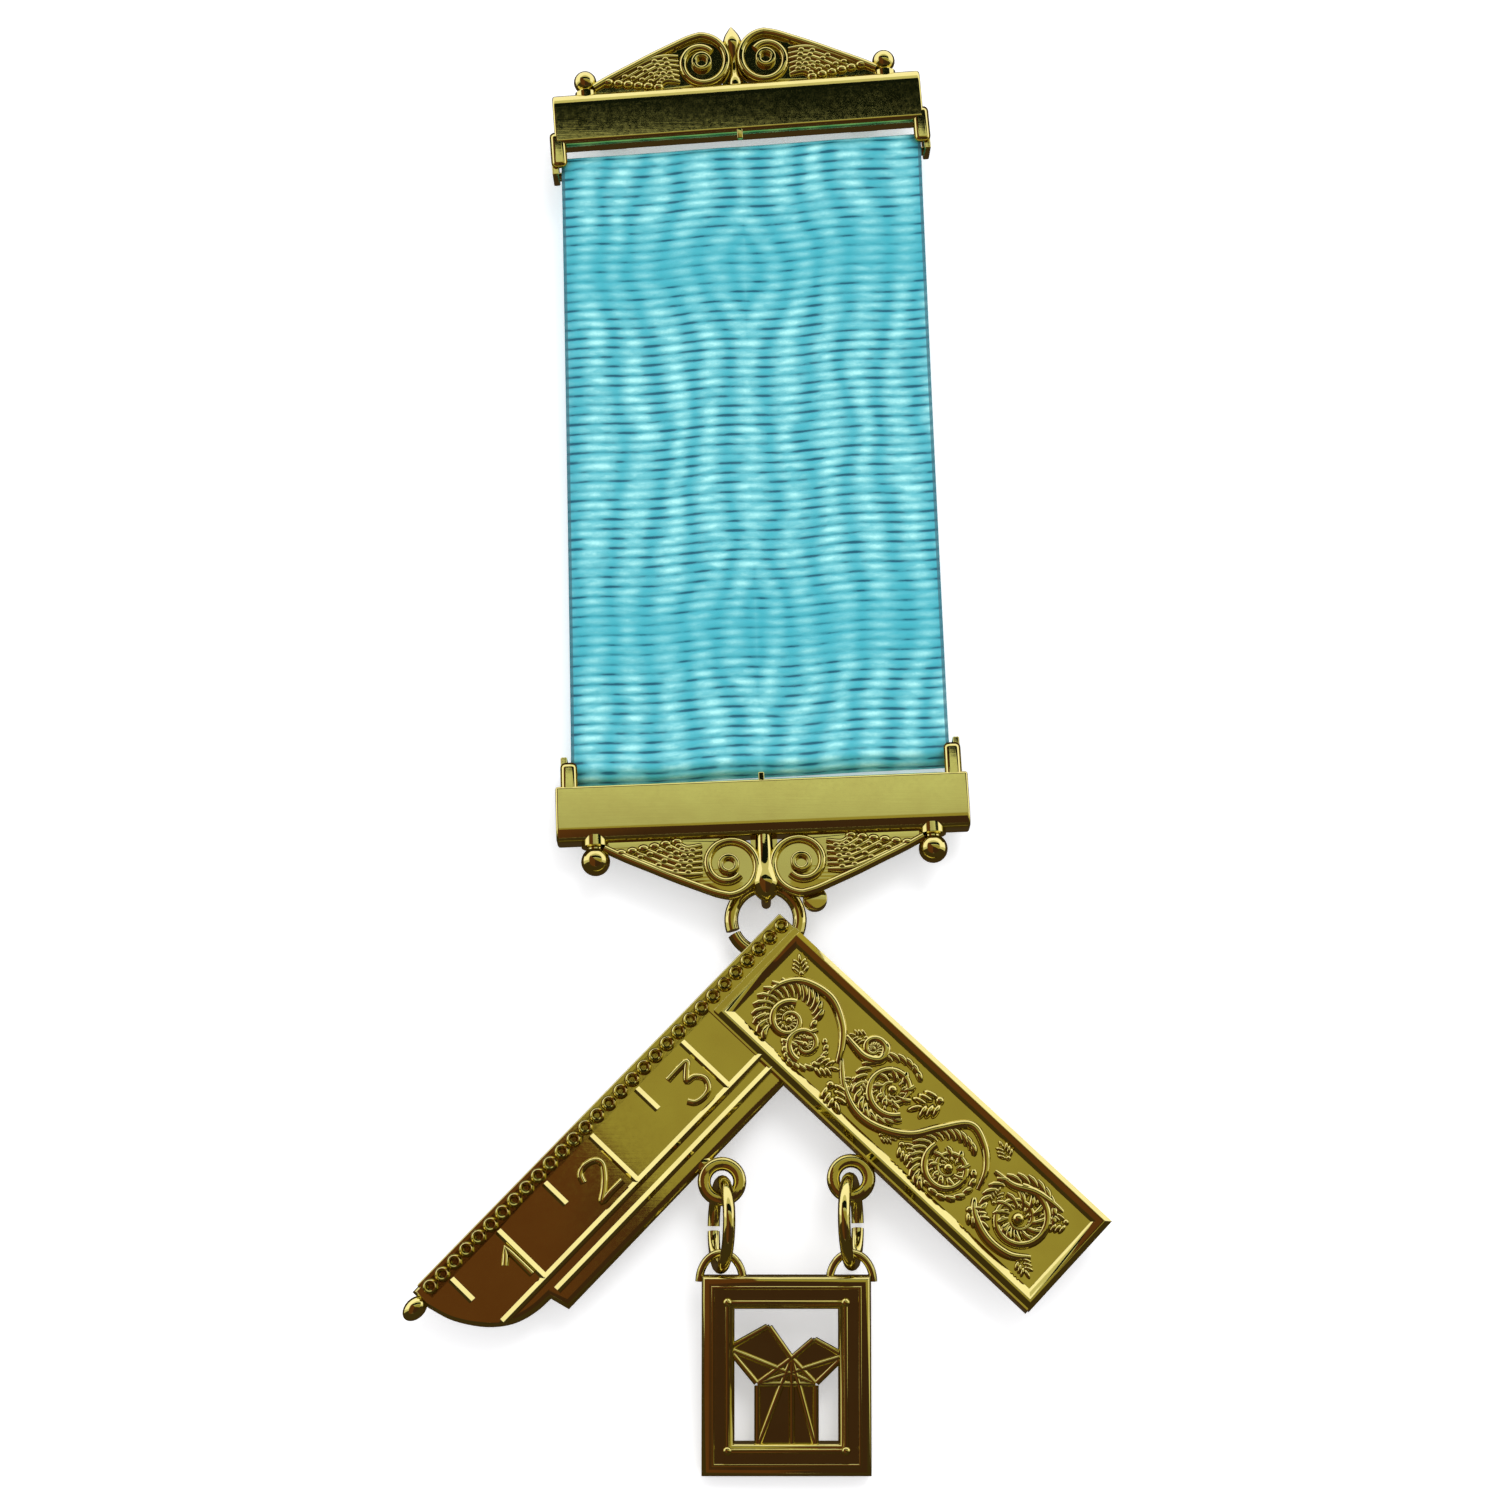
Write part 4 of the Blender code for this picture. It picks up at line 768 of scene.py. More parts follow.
def rule_mouldings():
    """The raised lines along the rule's inner side, whose long slopes face its outer edge."""
    shapes = []
    for across, short, sink in MOULDINGS:
        line = slab([ridge()], ARM_BREADTH - MOULDING_LAP, RULE_LENGTH - short)
        place = Matrix.Translation((0.0, across, RULE_FACE - sink))
        shapes.append(moved(line, place @ lengthwise()))
    return shapes


def bead_band():
    """A fillet along the outer edge that carries a row of low round beads with hollow tops."""
    length = RULE_LENGTH - BAND_END
    back = SQUARE_DEPTH * 0.2
    shapes = [box((length, BEAD_BAND, RULE_FACE - back),
                  (length / 2, BEAD_BAND / 2, (RULE_FACE + back) / 2), BAND_ROUNDING)]
    profile = [(BEAD_RADIUS * r, BEAD_RADIUS * h) for r, h in BEAD]
    count = int(length / BEAD_PITCH)
    for index in range(count):
        along = (index + 0.5) * length / count
        place = Matrix.Translation((along, BEAD_BAND / 2, RULE_FACE - BEAD_SINK))
        shapes.append(turned(profile, place, 20))
    return shapes


def rule_marks():
    """Three long lines with their digits, and a short line after each."""
    shapes = []
    for index in range(2 * len(DIGITS)):
        along = FIRST_MARK + index * MARK_PITCH
        long_line = index % 2 == 0
        end = RULE_LINE if long_line else SHORT_MARK_END
        line = slab([ridge()], -end, MARK_LAP - BEAD_BAND)
        place = Matrix.Translation((along, 0.0, RULE_FACE))
        shapes.append(moved(line, place @ Matrix.Rotation(math.pi / 2, 4, "X")))
        if long_line:
            text, offset = DIGITS[index // 2]
            shapes.append(digit(text, along + MARK_PITCH * offset))
    return shapes


def digit(text, along):
    """A raised digit whose top points to the bead band."""
    path = [(along - x * DIGIT_HALF_WIDTH, DIGIT_ACROSS - y * DIGIT_HALF_HEIGHT)
            for x, y in DIGIT_STROKES[text]]
    path = path if text == "1" else smooth(path, 5)
    return rail(lifted(path, RULE_FACE + DIGIT_LIFT), DIGIT_RADIUS)


def mitred(x0, y0, x1, y1, profile):
    """A moulding round a rectangle: each point of its section is an inset and a height."""
    places, faces = [], []
    for inset, height in profile:
        places += [(x, y, height) for x, y in rectangle(x0 + inset, y0 + inset, x1 - inset, y1 - inset)]
    count = len(profile)
    for ring in range(count):
        following = (ring + 1) % count
        for corner in range(4):
            other = (corner + 1) % 4
            faces.append((ring * 4 + corner, ring * 4 + other, following * 4 + other, following * 4 + corner))
    mesh = bpy.data.meshes.new("mitred")
    mesh.from_pydata(places, [], faces)
    shape = bmesh.new()
    shape.from_mesh(mesh)
    bmesh.ops.recalc_face_normals(shape, faces=shape.faces)
    return from_bmesh(shape)


def panel():
    """The bordered panel with its sunk field and the scrolls on it."""
    x0, x1 = 0.0, ARM_BREADTH - PANEL_INSET
    y0, y1 = BEAD_BAND + PANEL_GAP, BEAD_BAND + PANEL_LENGTH
    floor = PANEL_FACE - PANEL_SINK
    bed = rectangle(BED_INSET, BED_START, ARM_BREADTH, y1 - BED_END)
    border = [(0.0, PANEL_BACK), (0.0, PANEL_FACE - PANEL_CHAMFER), (PANEL_CHAMFER, PANEL_FACE)]
    border += [(inset, PANEL_FACE - drop) for inset, drop in BORDER_CREST]
    border += [(inset, floor + rise) for inset, rise in BORDER_FOOT]
    border.append((BORDER_FOOT[-1][0], PANEL_BACK))
    fillet_at = ((x0 + x1) / 2, BEAD_BAND + FILLET_BREADTH / 2, (PANEL_FACE + PANEL_BACK) / 2 - FILLET_SINK)
    shapes = [
        slab([bed], BED_BACK, floor, BED_CHAMFER),
        mitred(x0, y0, x1, y1, border),
        box((x1 - x0 - FILLET_INSET, FILLET_BREADTH, PANEL_FACE - PANEL_BACK), fillet_at, FILLET_ROUNDING),
    ]
    return shapes + panel_relief((x0, y0, x1, y1), floor + RELIEF_LIFT)


def panel_relief(field, height):
    """The scrolls, stems, fans and leaves that lie on the panel's field."""
    x0, y0, x1, y1 = field
    breadth = x1 - x0

    def at(along, across):
        return x0 + across * breadth, y0 + along * (y1 - y0)

    shapes = []
    for along, across, radius, start, turns in PANEL_SCROLLS:
        shapes += panel_scroll(at(along, across), radius * breadth, math.radians(start), turns, height)
    for stem in PANEL_STEMS:
        path = smooth([at(*point) for point in stem], 8)
        taper = [0.6 + 0.7 * math.sin(math.pi * i / (len(path) - 1)) ** 0.7 for i in range(len(path))]
        shapes.append(rail(lifted(path, height), STEM_RADIUS, taper))
    for along, across, inner, outer, first, last, count in PANEL_FANS:
        shapes += fan(at(along, across), inner * breadth, outer * breadth, math.radians(first),
                      math.radians(last), count, height)
    for along, across, size, heading in PANEL_LEAVES:
        shapes += leaf(Vector(at(along, across)), size * breadth, math.radians(heading), height)
    return shapes


def panel_scroll(centre, outer, start, turns, height):
    """A vine wound round a bud, with a row of beads along its inner side."""
    path = spiral(centre, outer, outer * 0.25, start, turns, SCROLL_STEPS)
    taper = [1.25 - 0.5 * i / SCROLL_STEPS for i in range(SCROLL_STEPS + 1)]
    shapes = [rail(lifted(path, height), VINE_RADIUS, taper),
              ball(outer * 0.2, (centre[0], centre[1], height + SCROLL_BUD_LIFT))]
    for spot in range(1, SCROLL_STEPS - 14, 3):
        point = Vector(path[spot])
        inward = Vector(centre) - point
        lean = math.atan2(inward.y, inward.x) + 0.6
        inward = inward.normalized() * SCROLL_BEAD_REACH
        place = (point.x + inward.x, point.y + inward.y, height + SCROLL_BEAD_LIFT)
        shapes.append(ball(SCROLL_BEAD, place, (1.25, 0.6, 1.1), lean, 12, 8))
    return shapes


def fan(centre, inner, outer, first, last, count, height):
    """Curved ribs round a scroll, with round tips and a hollow between each two."""
    width = min(0.42 * outer * (last - first) / count, FAN_RIB)
    shapes = []
    for index in range(count):
        angle = first + (last - first) * index / (count - 1)
        swell = 0.8 + 0.2 * math.sin(math.pi * index / (count - 1))
        path = []
        for step in range(len(FAN_TAPER)):
            share = step / (len(FAN_TAPER) - 1)
            radius = inner + (outer * swell - inner) * share
            turn = angle + 0.35 * share ** 1.5
            path.append((centre[0] + radius * math.cos(turn), centre[1] + radius * math.sin(turn)))
        shapes.append(rail(lifted(path, height + FAN_LIFT), width, FAN_TAPER, 10))
    return shapes


def leaf(at, length, heading, height):
    """A small leaf of three lobes on each side of its midrib, with a bud at the foot."""
    along = Vector((math.cos(heading), math.sin(heading)))
    across = Vector((-along.y, along.x))
    shapes = [ball(length * 0.16, (at.x, at.y, height + LEAF_BUD_LIFT))]
    for lobe in range(7):
        share = (lobe // 2 + 1) * 0.26
        side = (1, -1)[lobe % 2] if lobe < 6 else 0
        spot = at + along * length * share * 0.8 + across * side * length * (0.28 - 0.05 * (lobe // 2))
        shapes.append(ball(length * 0.22, (spot.x, spot.y, height), (1.3, 0.55, 0.9),
                           heading + side * 0.75, 14, 10))
    return shapes


# Pendant and rings

def pendant():
    half_w, half_h, front = FRAME_WIDTH / 2, FRAME_HEIGHT / 2, FRAME_DEPTH / 2
    wide, high = half_w - FRAME_RAIL, half_h - FRAME_RAIL
    shapes = [slab([centred(half_w, half_h), centred(wide, high)], -front, front, FRAME_ROUNDING, 4)]
    for inset, breadth, rise in FRAME_BEADS:
        inner = inset + breadth
        rings = [centred(half_w - inset, half_h - inset), centred(half_w - inner, half_h - inner)]
        shapes.append(slab(rings, 0.0, front + rise, breadth * 0.4, 3))
    for x in (-1, 1):
        for y in (-1, 1):
            corner = (x * (half_w - CORNER_INSET), y * (half_h - CORNER_INSET), front + CORNER_LIFT)
            shapes.append(ball(CORNER_BALL, corner, (1.0, 1.0, 0.8)))
    shapes += figure(wide, high)
    shapes += [pendant_loop(side * LOOP_SPREAD) for side in (1, -1)]
    return joined(shapes), Matrix.Rotation(PENDANT_TILT, 4, "X")


def figure(wide, high):
    """The figure's plate in the window, with raised lines along its edges and across it."""
    at = {name: (x * wide, y * high) for name, (x, y) in FIGURE.items()}
    top = FIGURE_HALF_DEPTH
    outline = [at[name] for name in FIGURE_OUTLINE]
    shapes = [slab([outline], -top, top, FIGURE_CHAMFER)]
    pairs = [(at[start], at[end]) for start, end in FIGURE_LINES]
    pairs.append((at["apex"], (at["apex"][0], at["foot_left"][1])))
    pairs += [(outline[i - 1], outline[i]) for i in range(len(outline))]
    for start, end in pairs:
        run = Vector(end) - Vector(start)
        first = Vector(start) + run * FIGURE_LINE_GAP
        last = Vector(end) - run * FIGURE_LINE_GAP
        shapes.append(rail([(first.x, first.y, top), (last.x, last.y, top)], FIGURE_LINE_RADIUS))
    return shapes


def pendant_loop(x):
    """A wire loop that stands on the frame and holds a jump ring."""
    foot = FRAME_HEIGHT / 2 - PENDANT_LOOP_SINK
    rise = JUMP_WIRE + PENDANT_LOOP_PLAY + PENDANT_LOOP_RADIUS + PENDANT_LOOP_SINK
    half = PENDANT_LOOP_WIDTH / 2 - PENDANT_LOOP_RADIUS
    path = [(x + half * math.cos(a), foot + rise * math.sin(a), 0.0)
            for a in (math.pi * i / 32 for i in range(33))]
    return rail(path, PENDANT_LOOP_RADIUS)


def ring(mean_radius, wire, cut, cut_at, turn):
    path = arc((0.0, 0.0), mean_radius, cut_at + cut / 2, cut_at - cut / 2 + 2 * math.pi, 72)
    return rail(lifted(path, 0.0), wire / 2), turn


def big_ring():
    return ring((RING_OUTER - RING_WIRE) / 2, RING_WIRE, RING_CUT, BIG_RING_CUT_AT, Matrix.Identity(4))


def jump_ring(lean):
    turn = Matrix.Rotation(lean, 4, "Y") @ Matrix.Rotation(math.radians(90), 4, "Y")
    return ring((JUMP_OUTER - JUMP_WIRE) / 2, JUMP_WIRE, RING_CUT, 0.0, turn)


def brooch_pin():
    path = [(PIN_START, 0.0, 0.0), (FITTING_SPREAD, 0.0, 0.0), (PIN_POINT, 0.0, 0.0)]
    return rail(path, PIN_RADIUS, [1.0, 1.0, 0.3]), Matrix.Rotation(TOP_BAR["turn"], 4, "Z")


def shift(mesh, axis, distance):
    for vertex in mesh.vertices:
        vertex.co[axis] += distance


def centre_on(mesh, corners, axes):
    """Puts the middle of a mesh's box on the middle of a CAD node's box, along the axes named."""
    low, high = corners
    for axis in axes:
        values = [v.co[axis] for v in mesh.vertices]
        shift(mesh, axis, (low[axis] + high[axis] - min(values) - max(values)) / 2)


def settle(mesh, turn, node, material):
    """Turns a piece, and puts it in the place of its CAD node."""
    mesh.transform(turn)
    centre_on(mesh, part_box(node), (0, 1, 2))
    obj = bpy.data.objects.new(node + "_gilt", mesh)
    bpy.context.scene.collection.objects.link(obj)
    mesh.materials.append(material)
    mesh.shade_smooth()
    mesh.set_sharp_from_angle(angle=math.radians(42))
    normals = obj.modifiers.new("normals", "WEIGHTED_NORMAL")
    normals.keep_sharp = True
    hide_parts(node)
    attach(obj, "root")


# Ribbon

def ribbon_sheet(path, pitch):
    """The cloth's ribbed sheet, with its width and its run along the loop as the UV map."""
    span = RIBBON_DROP - 2 * LOOP_HALF
    low_turn = math.tan(LOWER_BAR["turn"] + LOWER_BAR["skew"] - RIBBON_LEAN)
    top_turn = math.tan(TOP_BAR["turn"] - RIBBON_LEAN)
    across_steps = 24
    shape = bmesh.new()
    layer = shape.loops.layers.uv.new("ribbon")
    rows = []
    for (along, thick), (out_along, out_thick), run in even_steps(path, pitch / RIB_ROWS):
        share = min(max(along / span, 0.0), 1.0)
        shear = low_turn + (top_turn - low_turn) * share
        row = []
        for step in range(across_steps + 1):
            u = step / across_steps
            across = (u - 0.5) * RIBBON_WIDTH
            sway = RIB_SWAY * math.sin(2 * math.pi * across / RIB_SWAY_LENGTH)
            proud = RIB_RISE * math.sin(2 * math.pi * (run + sway) / pitch)
            place = (across, along + out_along * proud + across * shear, thick + out_thick * proud)
            row.append((shape.verts.new(place), u, run))
        rows.append(row)
    for here, there in zip(rows, rows[1:]):
        for a, b, c, d in zip(here, here[1:], there[1:], there):
            face = shape.faces.new((a[0], b[0], c[0], d[0]))
            for loop, corner in zip(face.loops, (a, b, c, d)):
                loop[layer].uv = (corner[1], corner[2] / RUN_PER_UV)
    bmesh.ops.remove_doubles(shape, verts=shape.verts, dist=0.01 * MM)
    bmesh.ops.recalc_face_normals(shape, faces=shape.faces)
    return from_bmesh(shape)


def ribbon(material, path, pitch):
    """The cloth as one sheet in a loop: up the front from the lower rod, over the top and down the back."""
    mesh = ribbon_sheet(path, pitch)
    rise = math.asin(RIBBON_RISE / (RIBBON_DROP - 2 * LOOP_HALF))
    mesh.transform(Matrix.Rotation(RIBBON_LEAN, 4, "Z") @ Matrix.Rotation(rise, 4, "X"))
    low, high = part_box("ribbon")
    centre_on(mesh, (low, high), (0, 1))
    shift(mesh, 2, low[2] + LOOP_HALF - FOLD_RADIUS - min(v.co[2] for v in mesh.vertices))
    obj = bpy.data.objects.new("ribbon_cloth", mesh)
    bpy.context.scene.collection.objects.link(obj)
    thickness = obj.modifiers.new("thickness", "SOLIDIFY")
    thickness.thickness = CLOTH_THICKNESS
    thickness.offset = 0.0
    mesh.materials.append(material)
    mesh.shade_smooth()
    mesh.set_sharp_from_angle(angle=math.radians(60))
    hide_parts("ribbon")
    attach(obj, "root")


def ribbon_path(span):
    """The loop that the cloth runs round, as (along, height), from the lower rod's back."""
    sections = 60
    front = []
    back = []
    for index in range(1, sections):
        share = index / sections
        along = span * share
        near_end = max(0.0, 1.0 - min(along, span - along) / PINCH_LENGTH)
        half = LAYER_HALF + (FOLD_RADIUS - LAYER_HALF) * near_end ** 2
        sag = -RIBBON_SAG * math.sin(math.pi * share)
        front.append((along, sag + half))
        back.append((along, sag - half))
    low_end = arc((0.0, 0.0), FOLD_RADIUS, 1.5 * math.pi, 0.5 * math.pi, 20)
    top_end = arc((span, 0.0), FOLD_RADIUS, 0.5 * math.pi, -0.5 * math.pi, 20)
    path = low_end + front + top_end + back[::-1]
    return path + [path[0]]


def path_length(path):
    return sum(math.dist(a, b) for a, b in zip(path, path[1:]))


def even_steps(path, step):
    """Points at even steps along a closed path, each with the direction across the path and its run."""
    count = round(path_length(path) / step)
    places = []
    index, passed = 0, 0.0
    for number in range(count + 1):
        run = path_length(path) * number / count if number in (0, count) else step * number
        while index < len(path) - 2 and passed + math.dist(path[index], path[index + 1]) < run:
            passed += math.dist(path[index], path[index + 1])
            index += 1
        share = (run - passed) / math.dist(path[index], path[index + 1])
        places.append((Vector(path[index]).lerp(Vector(path[index + 1]), share), run))
    steps = []
    for number, (place, run) in enumerate(places):
        before = places[(number - 3) % count][0]
        after = places[(number + 3) % count][0]
        heading = (after - before).normalized()
        steps.append((place, (-heading.y, heading.x), run))
    return steps


# Materials

def new_group(name, inputs, outputs):
    """A shader node group with (name, socket type, value) inputs and (name, socket type) outputs."""
    group = bpy.data.node_groups.new(name, "ShaderNodeTree")
    for label, kind, value in inputs:
        socket = group.interface.new_socket(label, in_out="INPUT", socket_type=kind)
        if value is not None:
            socket.default_value = value
    for label, kind in outputs:
        group.interface.new_socket(label, in_out="OUTPUT", socket_type=kind)
    return group, group.nodes.new("NodeGroupInput"), group.nodes.new("NodeGroupOutput")


def math_node(tree, operation, first, second=None, third=None):
    node = tree.nodes.new("ShaderNodeMath")
    node.operation = operation
    for index, value in enumerate((first, second, third)):
        if value is None:
            continue
        if isinstance(value, bpy.types.NodeSocket):
            tree.links.new(value, node.inputs[index])
        else:
            node.inputs[index].default_value = value
    return node.outputs[0]


def noise(tree, vector, scale, detail=2.0, roughness=0.5):
    node = tree.nodes.new("ShaderNodeTexNoise")
    node.inputs["Scale"].default_value = scale
    node.inputs["Detail"].default_value = detail
    node.inputs["Roughness"].default_value = roughness
    tree.links.new(vector, node.inputs["Vector"])
    return node.outputs["Fac"]


def mapped(tree, value, low, high, to_low, to_high):
    node = tree.nodes.new("ShaderNodeMapRange")
    node.inputs["From Min"].default_value = low
    node.inputs["From Max"].default_value = high
    node.inputs["To Min"].default_value = to_low
    node.inputs["To Max"].default_value = to_high
    tree.links.new(value, node.inputs["Value"])
    return node.outputs["Result"]


def mixed(tree, factor, first, second):
    node = tree.nodes.new("ShaderNodeMix")
    node.data_type = "RGBA"
    for label, value in (("Factor", factor), ("A", first), ("B", second)):
        socket = node.inputs[label]
        if isinstance(value, bpy.types.NodeSocket):
            tree.links.new(value, socket)
        else:
            socket.default_value = value
    return next(socket for socket in node.outputs if socket.type == "RGBA")


def wear_group():
    """Polished gilding: fine scratches, cloudy polish and tarnish in soft random clouds."""
    group, given, made = new_group(
        "gilding",
        [("Vector", "NodeSocketVector", None), ("Scratch", "NodeSocketFloat", 0.5)],
        [("Tarnish", "NodeSocketFloat"), ("Polish", "NodeSocketFloat"), ("Height", "NodeSocketFloat")],
    )
    links = group.links
    place = given.outputs["Vector"]
    cloud = noise(group, place, 350.0, 4.0)
    grain = noise(group, place, 2600.0, 3.0)
    stretch = group.nodes.new("ShaderNodeMapping")
    stretch.inputs["Scale"].default_value = (220.0, 9000.0, 900.0)
    stretch.inputs["Rotation"].default_value = (0.0, 0.0, math.radians(4.0))
    links.new(place, stretch.inputs["Vector"])
    scratch = noise(group, stretch.outputs["Vector"], 1.0, 3.0)
    tarnish = mapped(group, cloud, 0.35, 0.75, 0.0, 1.0)
    height = math_node(group, "ADD", math_node(group, "MULTIPLY", scratch, given.outputs["Scratch"]),
                       math_node(group, "MULTIPLY", grain, 0.5))
    links.new(tarnish, made.inputs["Tarnish"])
    links.new(grain, made.inputs["Polish"])
    links.new(height, made.inputs["Height"])
    return group


def gilt_material(group):
    material = bpy.data.materials.new("gilt")
    material.use_nodes = True
    tree = material.node_tree
    shader = tree.nodes["Principled BSDF"]
    where = tree.nodes.new("ShaderNodeTexCoord")
    wear = tree.nodes.new("ShaderNodeGroup")
    wear.node_tree = group
    tree.links.new(where.outputs["Object"], wear.inputs["Vector"])
    colour = mixed(tree, mapped(tree, wear.outputs["Tarnish"], 0.0, 1.0, 0.0, 0.35), GILT, TARNISH)
    tree.links.new(colour, shader.inputs["Base Color"])
    shader.inputs["Metallic"].default_value = 1.0
    tree.links.new(mapped(tree, wear.outputs["Polish"], 0.3, 0.7, 0.04, 0.08), shader.inputs["Roughness"])
    bump = tree.nodes.new("ShaderNodeBump")
    bump.inputs["Strength"].default_value = 0.06
    bump.inputs["Distance"].default_value = 0.02 * MM
    tree.links.new(wear.outputs["Height"], bump.inputs["Height"])
    tree.links.new(bump.outputs["Normal"], shader.inputs["Normal"])
    return material


def moire_group():
    """Watered cloth: ribs across the ribbon, pressed flat in bands that bulge round a row of eyes. Each rib's
    crest gets a painted highlight and its groove a painted shade.
    """
    group, given, made = new_group(
        "watered ribs",
        [("Across mm", "NodeSocketFloat", 0.0), ("Along mm", "NodeSocketFloat", 0.0),
         ("Rib pitch mm", "NodeSocketFloat", RIB_PITCH / MM),
         ("Band pitch mm", "NodeSocketFloat", WATER_PITCH / MM),
         ("Eye mm", "NodeSocketFloat", WATER_EYE / MM),
         ("Eye period mm", "NodeSocketFloat", WATER_PERIOD / MM),
         ("Vector", "NodeSocketVector", None)],
        [("Rib", "NodeSocketFloat"), ("Light", "NodeSocketFloat"), ("Groove shade", "NodeSocketFloat"),
         ("Edge line", "NodeSocketFloat")],
    )
    links = group.links

    def calc(operation, first, second=None, third=None):
        return math_node(group, operation, first, second, third)

    along = given.outputs["Along mm"]
    aside = calc("ABSOLUTE", given.outputs["Across mm"])
    wobble = noise(group, given.outputs["Vector"], 110.0, 2.0)
    # How far each band is pushed out at this height: only beside the eyes
    turn = calc("MULTIPLY", calc("SUBTRACT", along, given.outputs["Eye mm"]), 2 * math.pi)
    swell = calc("COSINE", calc("DIVIDE", turn, given.outputs["Eye period mm"]))
    fade = calc("EXPONENT", calc("MULTIPLY", aside, -0.13))
    beside = calc("POWER", calc("MAXIMUM", swell, 0.0), 2.0)
    push = calc("MULTIPLY", calc("MULTIPLY", beside, fade), 3.4)
    reach = calc("ADD", calc("SUBTRACT", aside, push), calc("MULTIPLY", calc("SUBTRACT", wobble, 0.5), 5.0))
    phase = calc("MULTIPLY", calc("DIVIDE", calc("SUBTRACT", reach, 3.2), given.outputs["Band pitch mm"]),
                 2 * math.pi)
    band = calc("MULTIPLY_ADD", calc("COSINE", phase), 0.5, 0.5)
    # Ribs, with dashes of their own length on each
    swing = calc("MULTIPLY", given.outputs["Across mm"], 2 * math.pi * MM / RIB_SWAY_LENGTH)
    sway = calc("MULTIPLY", calc("SINE", swing), RIB_SWAY / MM)
    turns = calc("DIVIDE", calc("ADD", along, sway), given.outputs["Rib pitch mm"])
    rib = calc("MULTIPLY_ADD", calc("SINE", calc("MULTIPLY", turns, 2 * math.pi)), 0.5, 0.5)
    spot = group.nodes.new("ShaderNodeCombineXYZ")
    links.new(calc("MULTIPLY", given.outputs["Across mm"], 0.42), spot.inputs["X"])
    links.new(calc("MULTIPLY", turns, 1.3), spot.inputs["Y"])
    dash = mapped(group, noise(group, spot.outputs["Vector"], 1.0, 3.0), 0.38, 0.62, 0.0, 1.0)
    thread = noise(group, given.outputs["Vector"], 4200.0, 2.0)
    calm = calc("POWER", calc("MAXIMUM", swell, 0.0), 3.0)
    strength = calc("MULTIPLY_ADD", calm, -0.55, 1.0)
    # Painted highlight on each rib's crest and painted shade in its groove, stronger in the light and dark
    # bands and broken into dashes
    lit = calc("MULTIPLY_ADD", calc("POWER", rib, 1.3), 0.75, 0.25)
    groove = calc("POWER", calc("SUBTRACT", 1.0, rib), 4.5)
    light = calc("MULTIPLY", lit, calc("MULTIPLY_ADD", band, 0.72, 0.12))
    light = calc("MULTIPLY", light, calc("MULTIPLY_ADD", dash, 0.85, 0.4))
    groove_shade = calc("MULTIPLY", groove, calc("MULTIPLY_ADD", calc("SUBTRACT", 1.0, band), 1.0, 0.22))
    groove_shade = calc("MULTIPLY", groove_shade, calc("MULTIPLY_ADD", calc("SUBTRACT", 1.0, dash), 1.4, 0.3))
    grain = calc("MULTIPLY_ADD", thread, 0.5, 0.75)
    links.new(rib, made.inputs["Rib"])
    links.new(calc("MULTIPLY", calc("MULTIPLY", light, strength), grain), made.inputs["Light"])
    links.new(calc("MULTIPLY", calc("MULTIPLY", groove_shade, strength), grain), made.inputs["Groove shade"])
    # A darker line along each edge of the ribbon
    edge = calc("GREATER_THAN", aside, RIBBON_WIDTH / 2 / MM - 0.28)
    links.new(edge, made.inputs["Edge line"])
    return group


def silk_material(group, pitch):
    material = bpy.data.materials.new("watered_silk")
    material.use_nodes = True
    tree = material.node_tree
    shader = tree.nodes["Principled BSDF"]
    where = tree.nodes.new("ShaderNodeTexCoord")
    uv = tree.nodes.new("ShaderNodeUVMap")
    uv.uv_map = "ribbon"
    split = tree.nodes.new("ShaderNodeSeparateXYZ")
    tree.links.new(uv.outputs["UV"], split.inputs["Vector"])
    ribs = tree.nodes.new("ShaderNodeGroup")
    ribs.node_tree = group
    centred = math_node(tree, "SUBTRACT", split.outputs["X"], 0.5)
    tree.links.new(math_node(tree, "MULTIPLY", centred, RIBBON_WIDTH / MM), ribs.inputs["Across mm"])
    tree.links.new(math_node(tree, "MULTIPLY", split.outputs["Y"], RUN_PER_UV / MM), ribs.inputs["Along mm"])
    ribs.inputs["Rib pitch mm"].default_value = pitch / MM
    ribs.inputs["Band pitch mm"].default_value = WATER_PITCH / MM
    ribs.inputs["Eye mm"].default_value = WATER_EYE / MM
    ribs.inputs["Eye period mm"].default_value = WATER_PERIOD / MM
    tree.links.new(where.outputs["Object"], ribs.inputs["Vector"])
    # Painted shade in the rib grooves, then painted highlight on the rib crests
    shaded = mixed(tree, ribs.outputs["Groove shade"], SILK, SILK_GROOVE_SHADE)
    body = mixed(tree, ribs.outputs["Light"], shaded, SILK_CREST_HIGHLIGHT)
    # A darker line along each edge of the ribbon
    colour = mixed(tree, math_node(tree, "MULTIPLY", ribs.outputs["Edge line"], 0.75), body, SILK_EDGE)
    tree.links.new(colour, shader.inputs["Base Color"])
    shader.inputs["Roughness"].default_value = 0.6
    shader.inputs["Specular IOR Level"].default_value = 0.25
    shader.inputs["Sheen Weight"].default_value = 0.06
    shader.inputs["Sheen Roughness"].default_value = 0.4
    bump = tree.nodes.new("ShaderNodeBump")
    bump.inputs["Strength"].default_value = 0.6
    bump.inputs["Distance"].default_value = 0.05 * MM
    tree.links.new(ribs.outputs["Rib"], bump.inputs["Height"])
    tree.links.new(bump.outputs["Normal"], shader.inputs["Normal"])
    return material


def plain_material(name, colour, roughness):
    material = bpy.data.materials.new(name)
    material.use_nodes = True
    shader = material.node_tree.nodes["Principled BSDF"]
    shader.inputs["Base Color"].default_value = colour
    shader.inputs["Roughness"].default_value = roughness
    return material


# Surroundings

